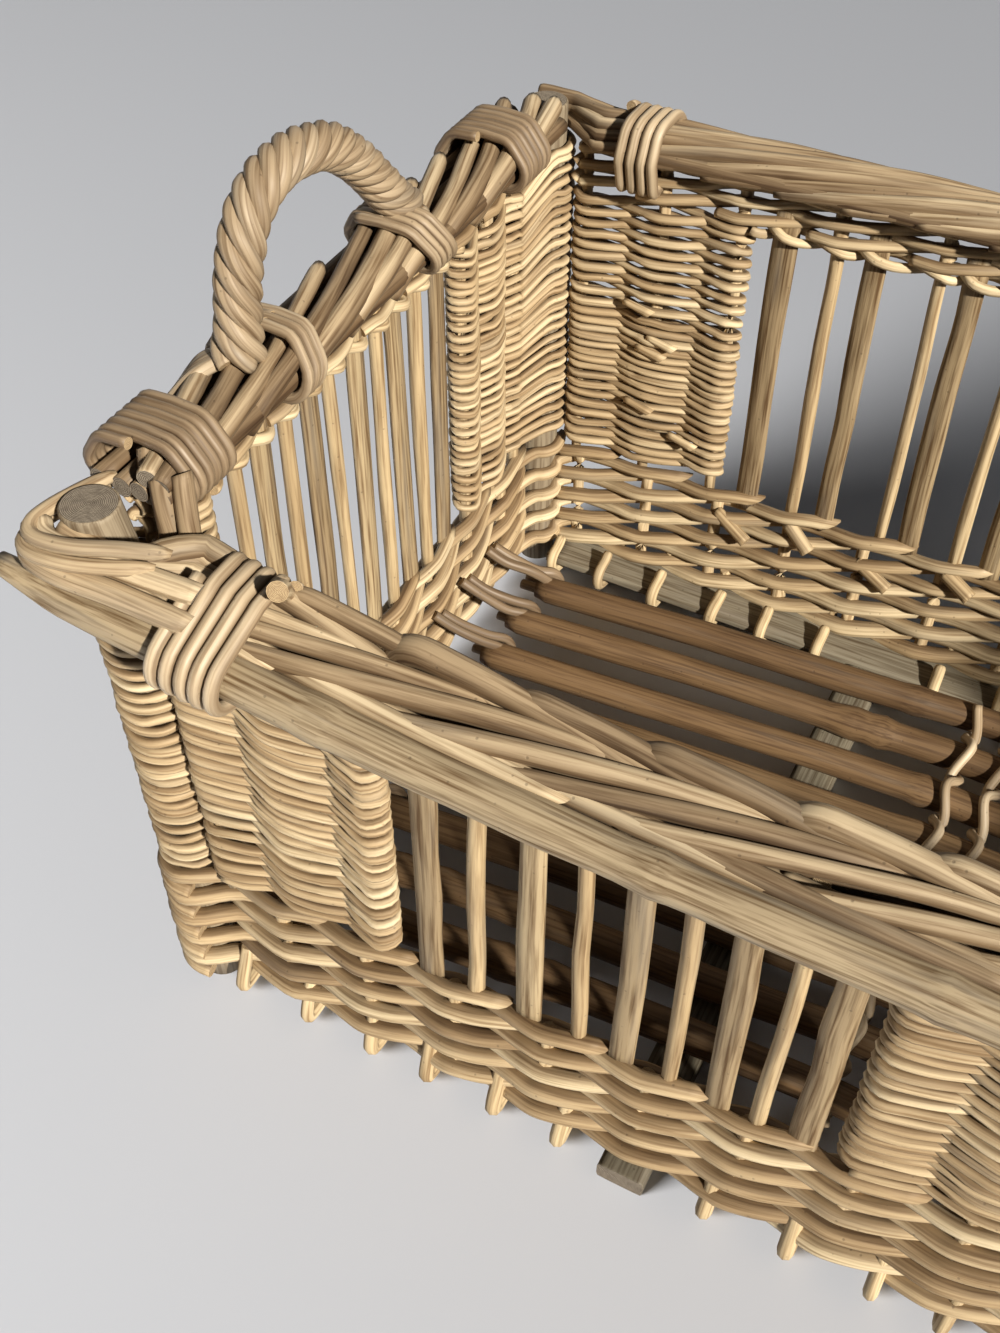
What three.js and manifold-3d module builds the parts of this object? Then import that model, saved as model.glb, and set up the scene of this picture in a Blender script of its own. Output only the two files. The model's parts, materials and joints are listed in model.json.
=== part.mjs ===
// Rectangular wicker basket with open barred windows, two rope handles and a slatted floor.
// Millimetres, +Z up, +X along the long walls, the front wall at -Y.
// The origin lies at the bottom centre, and the basket stands on z = 0.

import * as THREE from 'three';
import { mergeVertices } from 'three/addons/utils/BufferGeometryUtils.js';
import Module from 'manifold-3d';

// Driving sizes

const basketLength = 1150;
const basketWidth = 580;
const rimHeight = 465;
const postTopDrop = 15;
const seatGap = 0.3;
const cutOverrun = 5;

// Corner posts and the weave wrapped round them

const postDiameter = 34;
const postSides = 16;
const cornerDepth = 50;
const cornerRounding = 15;
const cornerWeaveBottom = 8;

// Walls: thickness of the base weave, the panels and the weave under the border

const wallThickness = 36;
const panelThickness = 26;
const topWeaveThickness = 26;
const baseWeaveBottom = 28.6;
const sillHeight = 140;
const baseRowPitch = 14;
const topRowPitch = 9;
const rowRelief = 2.2;
const stakeRelief = 7;
const ridgeStartShare = 0.3;
const ridgeEndShare = 0.7;
const stakeOutlineSteps = 4;

// Rim: how far the long walls' borders lie below the end borders, at the corners and at mid-length

const frontCornerDrop = 15;
const frontMiddleDrop = 63;
const backCornerDrop = 9;
const backMiddleDrop = 6;
const borderHeight = 26;
const topWeaveHeight = 36;
const frontRimSteps = 12;
const backRimSteps = 4;
const rimPower = 3;

// Plan of the long walls: corner panel, window, middle panel, window, corner panel

const cornerPanelWidth = 159;
const middlePanelWidth = 159;
const panelStakePitch = 75;
const headGap = 1.3;

// Plan of the end walls, from the front corner

const endWindowStart = 108;
const endWindowWidth = 310;

// Window bars

const barPitch = 28.6;
const lathWidth = 19;
const lathThickness = 7;
const stickDiameter = 12;
const stickSides = 6;
const headCaneDiameter = 10;
const headCaneSides = 6;

// Borders: rods laid side by side in two layers

const longBorderInset = 2;
const longRodDiameter = 15;
const endBorderInset = -8;
const endRodDiameter = 16;
const rodOverlap = 1.2;
const borderOutlineSteps = 20;
const endBorderFrontStart = 46.5;

// Outer rail on the front wall

const railDiameter = 23;
const railCornerDrop = 60;
const railMiddleDrop = 84;
const railOverhang = 27;
const railSides = 10;

// Floor

const poleDiameter = 27;
const poleCount = 9;
const poleSides = 12;
const battenWidth = 34;
const battenHeight = 24;
const battenFromEnd = 368;
const boardWidth = 43;
const boardThickness = 9;
const boardBottom = 18.3;
const boardInset = 3;
const hookPitch = 57;
const hookDiameter = 8;
const hookTip = 4;
const hookSink = 0.5;
const hookClearance = 1.2;

// Floor ties: one cane laced over and under the poles and back again

const tieDiameter = 7.6;
const tieFromEnd = 474;
const tieSpacing = 31;
const tieSides = 4;
const tieArcSteps = 4;
const tieClearance = 0.6;

// Lashings: a cane wound round the border, and on the front wall round the rail too

const caneDiameter = 8.5;
const caneGap = 0.9;
const caneSides = 5;
const lashingSteps = 12;
const lashingSlack = 0.5;
const longLashingTurns = 5;
const endLashingTurns = 5;
const frontLashingStart = 75;
const backLashingStart = 89;
const endLashingFrontStart = 52;
const endLashingBackStart = 82;
const slotMargin = 1.5;

// Handles

const handleFrontFoot = 158;
const handleBackFoot = 218;
const handleRise = 84;
const handleRopeDiameter = 27;
const handleWrapDiameter = 8;
const handleWrapTurns = 3;
const handleWrapOffset = 16;
const handleSides = 6;
const handleArchSteps = 16;
const handleArchShares = [
  [0.0, 0.12],
  [0.04, 0.42],
  [0.12, 0.82],
  [0.32, 1.0],
  [0.52, 0.9],
  [0.69, 0.6],
  [0.84, 0.32],
  [1.0, 0.12],
];

// Derived places

const halfLength = basketLength / 2;
const halfWidth = basketWidth / 2;
const postHeight = rimHeight - postTopDrop;
const handleSpan = basketWidth - handleFrontFoot - handleBackFoot;
const postInset = cornerDepth / 2;
const topWeaveBottomDrop = borderHeight + topWeaveHeight;
const cornerInner = cornerDepth + seatGap;
const poleCentreHeight = battenHeight + seatGap + poleDiameter / 2;
const poleSpan = basketWidth - 2 * (wallThickness + seatGap) - poleDiameter;
const polePitch = poleSpan / (poleCount + 1);
const cornerPanelEdge = cornerDepth + cornerPanelWidth;
const panelInset = (wallThickness - panelThickness) / 2;
const topWeaveInset = (wallThickness - topWeaveThickness) / 2;
const wallMiddle = wallThickness / 2;
const canePitch = caneDiameter + caneGap;

const wasm = await Module();
wasm.setup();

// Materials

function willow(color, roughness) {
  return new THREE.MeshStandardMaterial({ color, roughness, metalness: 0 });
}

const materials = {
  weave: willow(0xc9ab78, 0.75),
  rods: willow(0xbfa06c, 0.75),
  bars: willow(0xb99b66, 0.8),
  rail: willow(0xa48a5e, 0.8),
  poles: willow(0x96683c, 0.75),
  boards: willow(0x8b8168, 0.9),
  posts: willow(0x8f7f62, 0.9),
  cane: willow(0xae8a5a, 0.65),
  handle: willow(0xa98a63, 0.7),
};

// Solid helpers

const weldDistance = 1e-4;

function toSolid(geometry) {
  const bare = geometry.clone();
  bare.deleteAttribute('normal');
  bare.deleteAttribute('uv');
  const welded = mergeVertices(bare, weldDistance);
  return new wasm.Manifold(new wasm.Mesh({
    numProp: 3,
    vertProperties: new Float32Array(welded.attributes.position.array),
    triVerts: new Uint32Array(welded.index.array),
  }));
}

function toGeometry(solid) {
  const result = solid.getMesh();
  const geometry = new THREE.BufferGeometry();
  geometry.setAttribute('position', new THREE.BufferAttribute(result.vertProperties, 3));
  geometry.setIndex(new THREE.BufferAttribute(result.triVerts, 1));
  geometry.computeVertexNormals();
  return geometry;
}

function joined(geometries) {
  return toGeometry(geometries.map(toSolid).reduce((whole, next) => whole.add(next)));
}

function cut(geometry, tools) {
  return toGeometry(tools.map(toSolid).reduce((whole, tool) => whole.subtract(tool), toSolid(geometry)));
}

// A box given by its low and high corners.
function box(low, high) {
  const size = new THREE.Vector3().subVectors(high, low);
  const geometry = new THREE.BoxGeometry(size.x, size.y, size.z);
  return geometry.translate((low.x + high.x) / 2, (low.y + high.y) / 2, (low.z + high.z) / 2);
}

// An upright cylinder between two heights.
function uprightCylinder(x, y, bottom, top, diameter, sides) {
  const geometry = new THREE.CylinderGeometry(diameter / 2, diameter / 2, top - bottom, sides);
  return geometry.rotateX(Math.PI / 2).translate(x, y, (bottom + top) / 2);
}

// Extrudes an outline given in (y, z) along x.
const alongX = new THREE.Matrix4().makeBasis(
  new THREE.Vector3(0, 1, 0),
  new THREE.Vector3(0, 0, 1),
  new THREE.Vector3(1, 0, 0),
);

function extrudeAlongX(outline, start, end, steps = 1) {
  const geometry = new THREE.ExtrudeGeometry(outline, { depth: end - start, steps, bevelEnabled: false });
  return geometry.applyMatrix4(alongX).translate(start, 0, 0);
}

// Extrudes an outline given in (y, z) along x, with a section at each station.
function extrudeThrough(outline, stations) {
  const steps = stations.length - 1;
  const geometry = extrudeAlongX(outline, 0, steps, steps);
  const place = geometry.attributes.position;
  for (let i = 0; i < place.count; i += 1) place.setX(i, stations[Math.round(place.getX(i))]);
  return geometry;
}

// Raises each vertex by a height that depends on its x and z.
function raised(geometry, lift) {
  const place = geometry.attributes.position;
  for (let i = 0; i < place.count; i += 1) {
    place.setZ(i, place.getZ(i) + lift(place.getX(i), place.getZ(i)));
  }
  return geometry;
}

// Heights along a long wall: level at mid-length, and higher or lower towards the corners, in straight steps.
function rimCurve(corner, middle, steps) {
  const curve = (x) => middle + (corner - middle) * Math.abs(x / halfLength) ** rimPower;
  return (x) => {
    const place = ((x / halfLength + 1) / 2) * steps;
    const step = Math.min(Math.max(Math.floor(place), 0), steps - 1);
    const low = curve(halfLength * ((2 * step) / steps - 1));
    const high = curve(halfLength * ((2 * step + 2) / steps - 1));
    return low + (high - low) * (place - step);
  };
}

// The places along x where those straight steps meet, between a start and an end.
function rimStations(start, end, steps) {
  const stations = [start];
  for (let i = 1; i < steps; i += 1) {
    const x = halfLength * ((2 * i) / steps - 1);
    if (x > start + seatGap && x < end - seatGap) stations.push(x);
  }
  return [...stations, end];
}

const frontRim = rimCurve(rimHeight - frontCornerDrop, rimHeight - frontMiddleDrop, frontRimSteps);
const backRim = rimCurve(rimHeight - backCornerDrop, rimHeight - backMiddleDrop, backRimSteps);
const railHeight = rimCurve(rimHeight - railCornerDrop, rimHeight - railMiddleDrop, frontRimSteps);

// The lowest height of a long wall's border over the corner weave.
function cornerHeadroom(rim) {
  return Math.min(rim(halfLength), rim(halfLength - cornerDepth)) - borderHeight;
}

// A closed tube through points, with one radius or one radius a point.
function tubeThrough(points, radii, sides) {
  const last = points.length - 1;
  const tangents = points.map((_, i) => {
    const ahead = points[Math.min(i + 1, last)];
    return new THREE.Vector3().subVectors(ahead, points[Math.max(i - 1, 0)]).normalize();
  });
  const start = Math.abs(tangents[0].z) < 0.9 ? new THREE.Vector3(0, 0, 1) : new THREE.Vector3(1, 0, 0);
  const normal = new THREE.Vector3().crossVectors(tangents[0], start).normalize();
  const turn = new THREE.Quaternion();
  const vertices = [];
  points.forEach((point, i) => {
    if (i > 0) normal.applyQuaternion(turn.setFromUnitVectors(tangents[i - 1], tangents[i]));
    const side = new THREE.Vector3().crossVectors(tangents[i], normal);
    const radius = Array.isArray(radii) ? radii[i] : radii;
    for (let k = 0; k < sides; k += 1) {
      const angle = (2 * Math.PI * k) / sides;
      vertices.push(point.clone()
        .addScaledVector(normal, radius * Math.cos(angle))
        .addScaledVector(side, radius * Math.sin(angle)));
    }
  });
  const faces = [];
  for (let i = 0; i < last; i += 1) {
    for (let k = 0; k < sides; k += 1) {
      const a = i * sides + k;
      const b = i * sides + ((k + 1) % sides);
      faces.push(a, b, b + sides, a, b + sides, a + sides);
    }
  }
  for (let k = 1; k < sides - 1; k += 1) {
    faces.push(0, k + 1, k, last * sides, last * sides + k, last * sides + k + 1);
  }
  const geometry = new THREE.BufferGeometry().setFromPoints(vertices);
  geometry.setIndex(faces);
  geometry.computeVertexNormals();
  return geometry;
}

// The least gap between stretches of one tube that are further apart along it than a turn's part.
function leastGap(points, radius, apart) {
  let least = Infinity;
  for (let i = 0; i < points.length; i += 1) {
    for (let j = i + apart; j < points.length; j += 1) {
      least = Math.min(least, points[i].distanceTo(points[j]));
    }
  }
  return least - 2 * radius;
}

function reportGap(name, points, radius, apart) {
  console.log(`${name}: least gap to itself ${leastGap(points, radius, apart).toFixed(2)} mm`);
}

// Outlines

// A band's section in (y, z): rows of rounded ridges on both faces.
function rowedOutline(inner, outer, bottom, top, pitch) {
  const rows = Math.max(1, Math.round((top - bottom) / pitch));
  const step = (top - bottom) / rows;
  const ridge = new THREE.Shape();
  ridge.moveTo(outer + rowRelief, bottom);
  ridge.lineTo(inner - rowRelief, bottom);
  for (let i = 0; i < rows; i += 1) {
    ridge.lineTo(inner, bottom + step * (i + ridgeStartShare));
    ridge.lineTo(inner, bottom + step * (i + ridgeEndShare));
    ridge.lineTo(inner - rowRelief, bottom + step * (i + 1));
  }
  ridge.lineTo(outer + rowRelief, top);
  for (let i = rows; i > 0; i -= 1) {
    ridge.lineTo(outer, bottom + step * (i - ridgeStartShare));
    ridge.lineTo(outer, bottom + step * (i - ridgeEndShare));
    if (i > 1) ridge.lineTo(outer + rowRelief, bottom + step * (i - 1));
  }
  return ridge;
}

// A panel's plan in (x, y): both faces swell over each upright stake, the first and last at its edges.
function stakedOutline(start, end, outer, inner) {
  const bays = Math.max(1, Math.round((end - start) / panelStakePitch));
  const steps = bays * stakeOutlineSteps;
  const swell = (i) => (stakeRelief / 2) * (1 + Math.cos((2 * Math.PI * i) / stakeOutlineSteps));
  const x = (i) => start + ((end - start) * i) / steps;
  const plan = new THREE.Shape();
  plan.moveTo(start, outer);
  for (let i = 1; i <= steps; i += 1) plan.lineTo(x(i), outer + stakeRelief - swell(i));
  for (let i = steps; i >= 0; i -= 1) plan.lineTo(x(i), inner - stakeRelief + swell(i));
  return plan;
}

// The outer outline of overlapping round rods, seen from their middle; grow widens every rod.
function bundleOutline(rods, grow = 0) {
  const middle = bundleMiddle(rods);
  const outline = new THREE.Shape();
  for (let i = 0; i < borderOutlineSteps; i += 1) {
    const angle = (2 * Math.PI * i) / borderOutlineSteps;
    const direction = new THREE.Vector2(Math.cos(angle), Math.sin(angle));
    let reach = 0;
    rods.forEach((rod) => {
      const offset = new THREE.Vector2(rod.y - middle.x, rod.z - middle.y);
      const ahead = offset.dot(direction);
      const aside = Math.abs(offset.cross(direction));
      const radius = rod.radius + grow;
      if (aside < radius) reach = Math.max(reach, ahead + Math.sqrt(radius ** 2 - aside ** 2));
    });
    const point = middle.clone().addScaledVector(direction, reach);
    if (i === 0) outline.moveTo(point.x, point.y);
    else outline.lineTo(point.x, point.y);
  }
  return outline;
}

function bundleMiddle(rods) {
  const sum = rods.reduce((total, rod) => total.add(new THREE.Vector2(rod.y, rod.z)), new THREE.Vector2());
  return sum.divideScalar(rods.length);
}

// Two layers of rods, the upper one a rod narrower; heights count from the border's top.
function borderRods(inset, rodDiameter, lowerCount) {
  const radius = rodDiameter / 2;
  const spacing = rodDiameter - rodOverlap;
  const rods = [];
  for (let i = 0; i < lowerCount; i += 1) {
    rods.push({ y: inset + radius + spacing * i, z: radius - borderHeight, radius });
  }
  for (let i = 0; i < lowerCount - 1; i += 1) {
    rods.push({ y: inset + radius + spacing * (i + 0.5), z: -radius, radius });
  }
  return rods;
}

const longBorderRods = borderRods(longBorderInset, longRodDiameter, 3);
const endBorderRods = borderRods(endBorderInset, endRodDiameter, 4);

const railCircle = { y: -seatGap - railDiameter / 2, z: 0, radius: railDiameter / 2 };

// The same circles at another height.
function lifted(circles, height) {
  return circles.map((circle) => ({ ...circle, z: circle.z + height }));
}

// Windings

// How far circles in (y, z), widened by a clearance, reach in one direction.
function reachOf(circles, clearance, angle) {
  const reaches = circles.map((circle) => (
    circle.y * Math.cos(angle) + circle.z * Math.sin(angle) + circle.radius
  ));
  return Math.max(...reaches) + clearance;
}

// A corner of the polygon drawn tight round circles: where the tangents of two directions meet.
function wrapPoint(circles, clearance, angle) {
  const half = Math.PI / lashingSteps;
  const before = angle - half;
  const after = angle + half;
  const reachBefore = reachOf(circles, clearance, before);
  const reachAfter = reachOf(circles, clearance, after);
  return new THREE.Vector2(
    reachBefore * Math.sin(after) - reachAfter * Math.sin(before),
    reachAfter * Math.cos(before) - reachBefore * Math.cos(after),
  ).divideScalar(Math.sin(2 * half));
}

// The points of a winding that advances along x, round the circles that lie at each x.
function windingPoints(circlesAt, start, turns, pitch, clearance, firstAngle) {
  const points = [];
  const count = Math.round(turns * lashingSteps);
  for (let i = 0; i <= count; i += 1) {
    const angle = firstAngle + (2 * Math.PI * (i + 0.5)) / lashingSteps;
    const x = start + (pitch * i) / lashingSteps;
    const around = wrapPoint(circlesAt(x), clearance, angle);
    points.push(new THREE.Vector3(x, around.x, around.y));
  }
  return points;
}

// Adds a straight end, one tube diameter long, at both ends of a winding.
function withStraightEnds(points, diameter) {
  const first = new THREE.Vector3().subVectors(points[0], points[1]).setLength(diameter).add(points[0]);
  const end = points[points.length - 1];
  const before = points[points.length - 2];
  const last = new THREE.Vector3().subVectors(end, before).setLength(diameter).add(end);
  return [first, ...points, last];
}

function lashing(name, circlesAt, start, turns) {
  const clearance = caneDiameter / 2 + lashingSlack;
  const points = windingPoints(circlesAt, start, turns, canePitch, clearance, Math.PI / 2);
  reportGap(name, points, caneDiameter / 2, lashingSteps - 2);
  return tubeThrough(withStraightEnds(points, caneDiameter), caneDiameter / 2, caneSides);
}

// How low the polygon drawn tight round circles, widened by a clearance, reaches at one y.
function undersideAt(circles, clearance, y) {
  const heights = [];
  for (let i = 1; i < lashingSteps / 2; i += 1) {
    const angle = Math.PI + (2 * Math.PI * i) / lashingSteps;
    heights.push((reachOf(circles, clearance, angle) - y * Math.cos(angle)) / Math.sin(angle));
  }
  return Math.max(...heights);
}

// The room that a winding needs through the weave under the border.
function lashingSlot(rim, circlesAt, start, turns, pitch, diameter) {
  const margin = diameter / 2 + slotMargin;
  const slot = box(
    new THREE.Vector3(start - margin, -cutOverrun, 0),
    new THREE.Vector3(start + pitch * turns + margin, wallThickness + cutOverrun, 1),
  );
  const low = (x) => undersideAt(circlesAt(x), diameter + lashingSlack, topWeaveInset) - slotMargin;
  return raised(slot, (x, z) => (z > 0 ? rim(x) - z : low(x)));
}

// Pieces of a wall, in the wall's own frame: x along it, y inwards from its outer face

function baseWeave(halfSpan) {
  const outline = rowedOutline(wallThickness, 0, baseWeaveBottom, sillHeight, baseRowPitch);
  return extrudeAlongX(outline, -halfSpan, halfSpan);
}

function topWeave(rim, halfSpan, steps, slots) {
  const top = -borderHeight - seatGap;
  const inner = topWeaveInset + topWeaveThickness;
  const outline = rowedOutline(inner, topWeaveInset, -topWeaveBottomDrop, top, topRowPitch);
  const band = extrudeThrough(outline, rimStations(-halfSpan, halfSpan, steps));
  return cut(raised(band, (x) => rim(x)), slots);
}

function wallPanel(start, end, rim) {
  const plan = stakedOutline(start, end, panelInset, panelInset + panelThickness);
  const bottom = sillHeight + seatGap;
  const geometry = new THREE.ExtrudeGeometry(plan, { depth: 1, bevelEnabled: false });
  const top = (x) => rim(x) - topWeaveBottomDrop - headGap;
  return raised(geometry, (x, z) => (z > 0 ? top(x) - z : bottom));
}

function border(rods, rim, start, end, steps) {
  return raised(extrudeThrough(bundleOutline(rods), rimStations(start, end, steps)), (x) => rim(x));
}

// Bars between two panels, held together by the cane twined across their heads.
function windowBars(start, end, rim, lathFirst) {
  const count = Math.max(1, Math.round((end - start) / barPitch) - 1);
  const spacing = (end - start) / (count + 1);
  const headDrop = topWeaveBottomDrop + seatGap + headCaneDiameter / 2;
  const headPoints = [];
  for (let i = 0; i <= count + 1; i += 1) {
    const shift = i === 0 ? headGap : i === count + 1 ? -headGap : 0;
    const x = start + spacing * i + shift;
    headPoints.push(new THREE.Vector3(x, wallMiddle, rim(x) - headDrop));
  }
  const pieces = [tubeThrough(headPoints, headCaneDiameter / 2, headCaneSides)];
  for (let i = 1; i <= count; i += 1) {
    const x = start + spacing * i;
    const bottom = sillHeight + seatGap;
    const top = rim(x) - headDrop;
    if ((i % 2 === 1) === lathFirst) {
      const half = new THREE.Vector3(lathWidth / 2, lathThickness / 2, (top - bottom) / 2);
      const centre = new THREE.Vector3(x, wallMiddle, (top + bottom) / 2);
      pieces.push(box(centre.clone().sub(half), centre.clone().add(half)));
    } else {
      pieces.push(uprightCylinder(x, wallMiddle, bottom, top, stickDiameter, stickSides));
    }
  }
  return joined(pieces);
}

function rail(steps) {
  const end = halfLength + railOverhang;
  const points = rimStations(-end, end, steps).map((x) => new THREE.Vector3(x, railCircle.y, railHeight(x)));
  return tubeThrough(points, railDiameter / 2, railSides);
}

// The section of a stake end that is bent round the base board, from its outer edge to the weave.
function hookOutline() {
  const outer = boardInset;
  const inner = boardInset + boardWidth;
  const low = boardBottom + hookSink;
  const high = boardBottom + boardThickness - hookSink;
  const outline = new THREE.Shape();
  outline.moveTo(outer + hookSink, high);
  outline.lineTo(outer + hookSink - hookTip, high);
  outline.lineTo(outer + hookSink - hookTip, low - hookTip);
  outline.lineTo(outer + hookSink, low - hookDiameter);
  outline.lineTo(inner, low - hookDiameter);
  outline.lineTo(inner - hookSink + hookDiameter, low);
  outline.lineTo(inner - hookSink + hookDiameter, high);
  outline.lineTo(inner, high + hookDiameter);
  outline.lineTo(wallThickness + hookClearance, high + hookDiameter);
  outline.lineTo(wallThickness + hookClearance, high);
  outline.lineTo(inner - hookSink, high);
  outline.lineTo(inner - hookSink, low);
  outline.lineTo(outer + hookSink, low);
  return outline;
}

// A flat board under the weave, with the stake ends bent round it.
function baseBoard() {
  const halfSpan = halfLength - cornerInner;
  const board = box(
    new THREE.Vector3(-halfSpan, boardInset, boardBottom),
    new THREE.Vector3(halfSpan, boardInset + boardWidth, boardBottom + boardThickness),
  );
  const pieces = [board];
  const count = Math.floor((2 * halfSpan - battenWidth) / hookPitch);
  for (let i = 0; i <= count; i += 1) {
    const x = hookPitch * (i - count / 2);
    const fromBatten = Math.abs(Math.abs(x) - (halfLength - battenFromEnd));
    if (fromBatten > battenWidth / 2 + hookDiameter) {
      pieces.push(extrudeAlongX(hookOutline(), x - hookDiameter / 2, x + hookDiameter / 2));
    }
  }
  return joined(pieces);
}

// Corner weave: a column round the post, and the end wall's panel beside it

function cornerWeave(panelEnd, columnTop, toCorner) {
  const plan = new THREE.Shape();
  const half = cornerDepth / 2;
  plan.moveTo(half, half);
  plan.lineTo(-half, half);
  plan.lineTo(-half, -half + cornerRounding);
  plan.absarc(-half + cornerRounding, -half + cornerRounding, cornerRounding, Math.PI, 1.5 * Math.PI);
  plan.lineTo(half, -half);
  const hole = new THREE.Path();
  hole.absarc(0, 0, postDiameter / 2 + seatGap, 0, 2 * Math.PI, true);
  plan.holes.push(hole);
  const height = columnTop - cornerWeaveBottom;
  const settings = { depth: height, bevelEnabled: false, curveSegments: postSides / 2 };
  const column = new THREE.ExtrudeGeometry(plan, settings).translate(0, 0, cornerWeaveBottom);
  if (toCorner > 0) column.rotateZ(Math.PI / 2);
  const cornerX = toCorner * (halfWidth - half);
  column.translate(cornerX, half, 0);
  const reach = cornerX - toCorner * (half - cutOverrun);
  const window = toCorner * (halfWidth - panelEnd);
  const level = () => rimHeight;
  const panel = wallPanel(Math.min(window, reach), Math.max(window, reach), level);
  return joined([column, panel]);
}

// A handle: a rope arch whose two ends are wound round the end border.
function handlePath(toFront) {
  const rodsAt = () => lifted(endBorderRods, rimHeight);
  const wrapPitch = handleWrapDiameter + caneGap;
  const clearance = handleWrapDiameter / 2 + lashingSlack;
  const along = (share) => handleFrontFoot + handleSpan * share;
  const localX = (fromFront) => toFront * (halfWidth - fromFront);
  const middle = bundleMiddle(endBorderRods).x;
  const wound = (foot, inwards) => {
    const direction = -toFront * inwards;
    const start = localX(foot) + direction * handleWrapOffset;
    const points = windingPoints(rodsAt, 0, handleWrapTurns, wrapPitch, clearance, Math.PI);
    return points.map((p) => new THREE.Vector3(start + direction * p.x, p.y, p.z));
  };
  const front = wound(along(0), 1).reverse();
  const back = wound(along(1), -1);
  const arch = new THREE.CatmullRomCurve3(handleArchShares.map(([share, rise]) => (
    new THREE.Vector3(localX(along(share)), middle, rimHeight + handleRise * rise + handleWrapDiameter)
  )));
  return { front, back, arch: arch.getSpacedPoints(handleArchSteps) };
}

function handle(name, toFront) {
  const { front, back, arch } = handlePath(toFront);
  const points = [...front, ...arch, ...back];
  const wrapRadius = handleWrapDiameter / 2;
  const ropeRadius = handleRopeDiameter / 2;
  const radii = [
    ...front.map(() => wrapRadius),
    ...arch.map((_, i) => {
      const fromEnd = Math.min(i, arch.length - 1 - i);
      return fromEnd === 0 ? (wrapRadius + ropeRadius) / 2 : ropeRadius;
    }),
    ...back.map(() => wrapRadius),
  ];
  reportGap(`${name} front winding`, front, wrapRadius, lashingSteps - 2);
  reportGap(`${name} back winding`, back, wrapRadius, lashingSteps - 2);
  const rope = tubeThrough(points, radii, handleSides);
  const outline = bundleOutline(endBorderRods, seatGap);
  const clear = extrudeAlongX(outline, -halfWidth, halfWidth).translate(0, 0, rimHeight);
  return cut(rope, [clear]);
}

// Floor pieces, in the basket's frame

function poleY(i) {
  return polePitch * (i - (poleCount - 1) / 2);
}

function floorPole() {
  const halfSpan = halfLength - wallThickness - 2 * seatGap;
  const geometry = new THREE.CylinderGeometry(poleDiameter / 2, poleDiameter / 2, 2 * halfSpan, poleSides);
  return geometry.rotateZ(Math.PI / 2).rotateX(Math.PI / poleSides);
}

// A batten across under the poles, halved at its ends to pass below the base boards.
function crossBatten() {
  const halfSpan = halfWidth;
  const shoulder = halfWidth - boardInset - boardWidth - seatGap;
  const batten = box(
    new THREE.Vector3(-battenWidth / 2, -halfSpan, 0),
    new THREE.Vector3(battenWidth / 2, halfSpan, battenHeight),
  );
  const lap = (near, far) => box(
    new THREE.Vector3(-battenWidth / 2 - cutOverrun, near, boardBottom - seatGap),
    new THREE.Vector3(battenWidth / 2 + cutOverrun, far, battenHeight + cutOverrun),
  );
  return cut(batten, [
    lap(-halfSpan - cutOverrun, -shoulder),
    lap(shoulder, halfSpan + cutOverrun),
  ]);
}

// One row of lacing: half a turn round each pole, over and under by turns.
function lacingRow(x) {
  const reach = poleDiameter / 2 + tieDiameter / 2 + tieClearance;
  const lean = Math.asin(Math.min(1, (2 * reach) / polePitch));
  const points = [];
  for (let i = 0; i < poleCount; i += 1) {
    const side = i % 2 === 0 ? -1 : 1;
    for (let k = 0; k <= tieArcSteps; k += 1) {
      const angle = (Math.PI / 2 - lean) * ((2 * k) / tieArcSteps - 1) * -1;
      const y = poleY(i) - reach * Math.sin(angle);
      const z = poleCentreHeight + side * reach * Math.cos(angle);
      points.push(new THREE.Vector3(x, y, z));
    }
  }
  return points;
}

function floorTie(name, side) {
  const outerX = side * (halfLength - tieFromEnd);
  const innerX = side * (halfLength - tieFromEnd - tieSpacing);
  const there = lacingRow(outerX);
  const andBack = lacingRow(innerX).reverse();
  const points = [...there.slice(0, -tieArcSteps / 2), ...andBack.slice(tieArcSteps / 2)];
  reportGap(name, points, tieDiameter / 2, tieArcSteps * 2);
  return tubeThrough(points, tieDiameter / 2, tieSides);
}

// Assembly

const basket = new THREE.Group();

function add(parent, name, geometry, material, place = new THREE.Vector3()) {
  const mesh = new THREE.Mesh(geometry, material.clone());
  mesh.name = name;
  mesh.position.copy(place);
  parent.add(mesh);
}

function addPosts() {
  [['left', -1], ['right', 1]].forEach(([end, sideX]) => {
    [['front', -1], ['back', 1]].forEach(([face, sideY]) => {
      const post = uprightCylinder(0, 0, 0, postHeight, postDiameter, postSides);
      const place = new THREE.Vector3(sideX * (halfLength - postInset), sideY * (halfWidth - postInset), 0);
      add(basket, `post_${face}_${end}`, post, materials.posts, place);
    });
  });
}

function addFloor() {
  for (let i = 0; i < poleCount; i += 1) {
    const place = new THREE.Vector3(0, poleY(i), poleCentreHeight);
    add(basket, `floor_pole_${i + 1}`, floorPole(), materials.poles, place);
  }
  [['left', -1], ['right', 1]].forEach(([end, side]) => {
    const place = new THREE.Vector3(side * (halfLength - battenFromEnd), 0, 0);
    add(basket, `cross_batten_${end}`, crossBatten(), materials.boards, place);
    add(basket, `floor_tie_${end}`, floorTie(`floor_tie_${end}`, side), materials.cane);
  });
}

// The post holes that the border needs where it passes the posts.
function postHole(x) {
  const diameter = postDiameter + 2 * seatGap;
  return uprightCylinder(x, postInset, sillHeight, 2 * postHeight, diameter, postSides);
}

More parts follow.
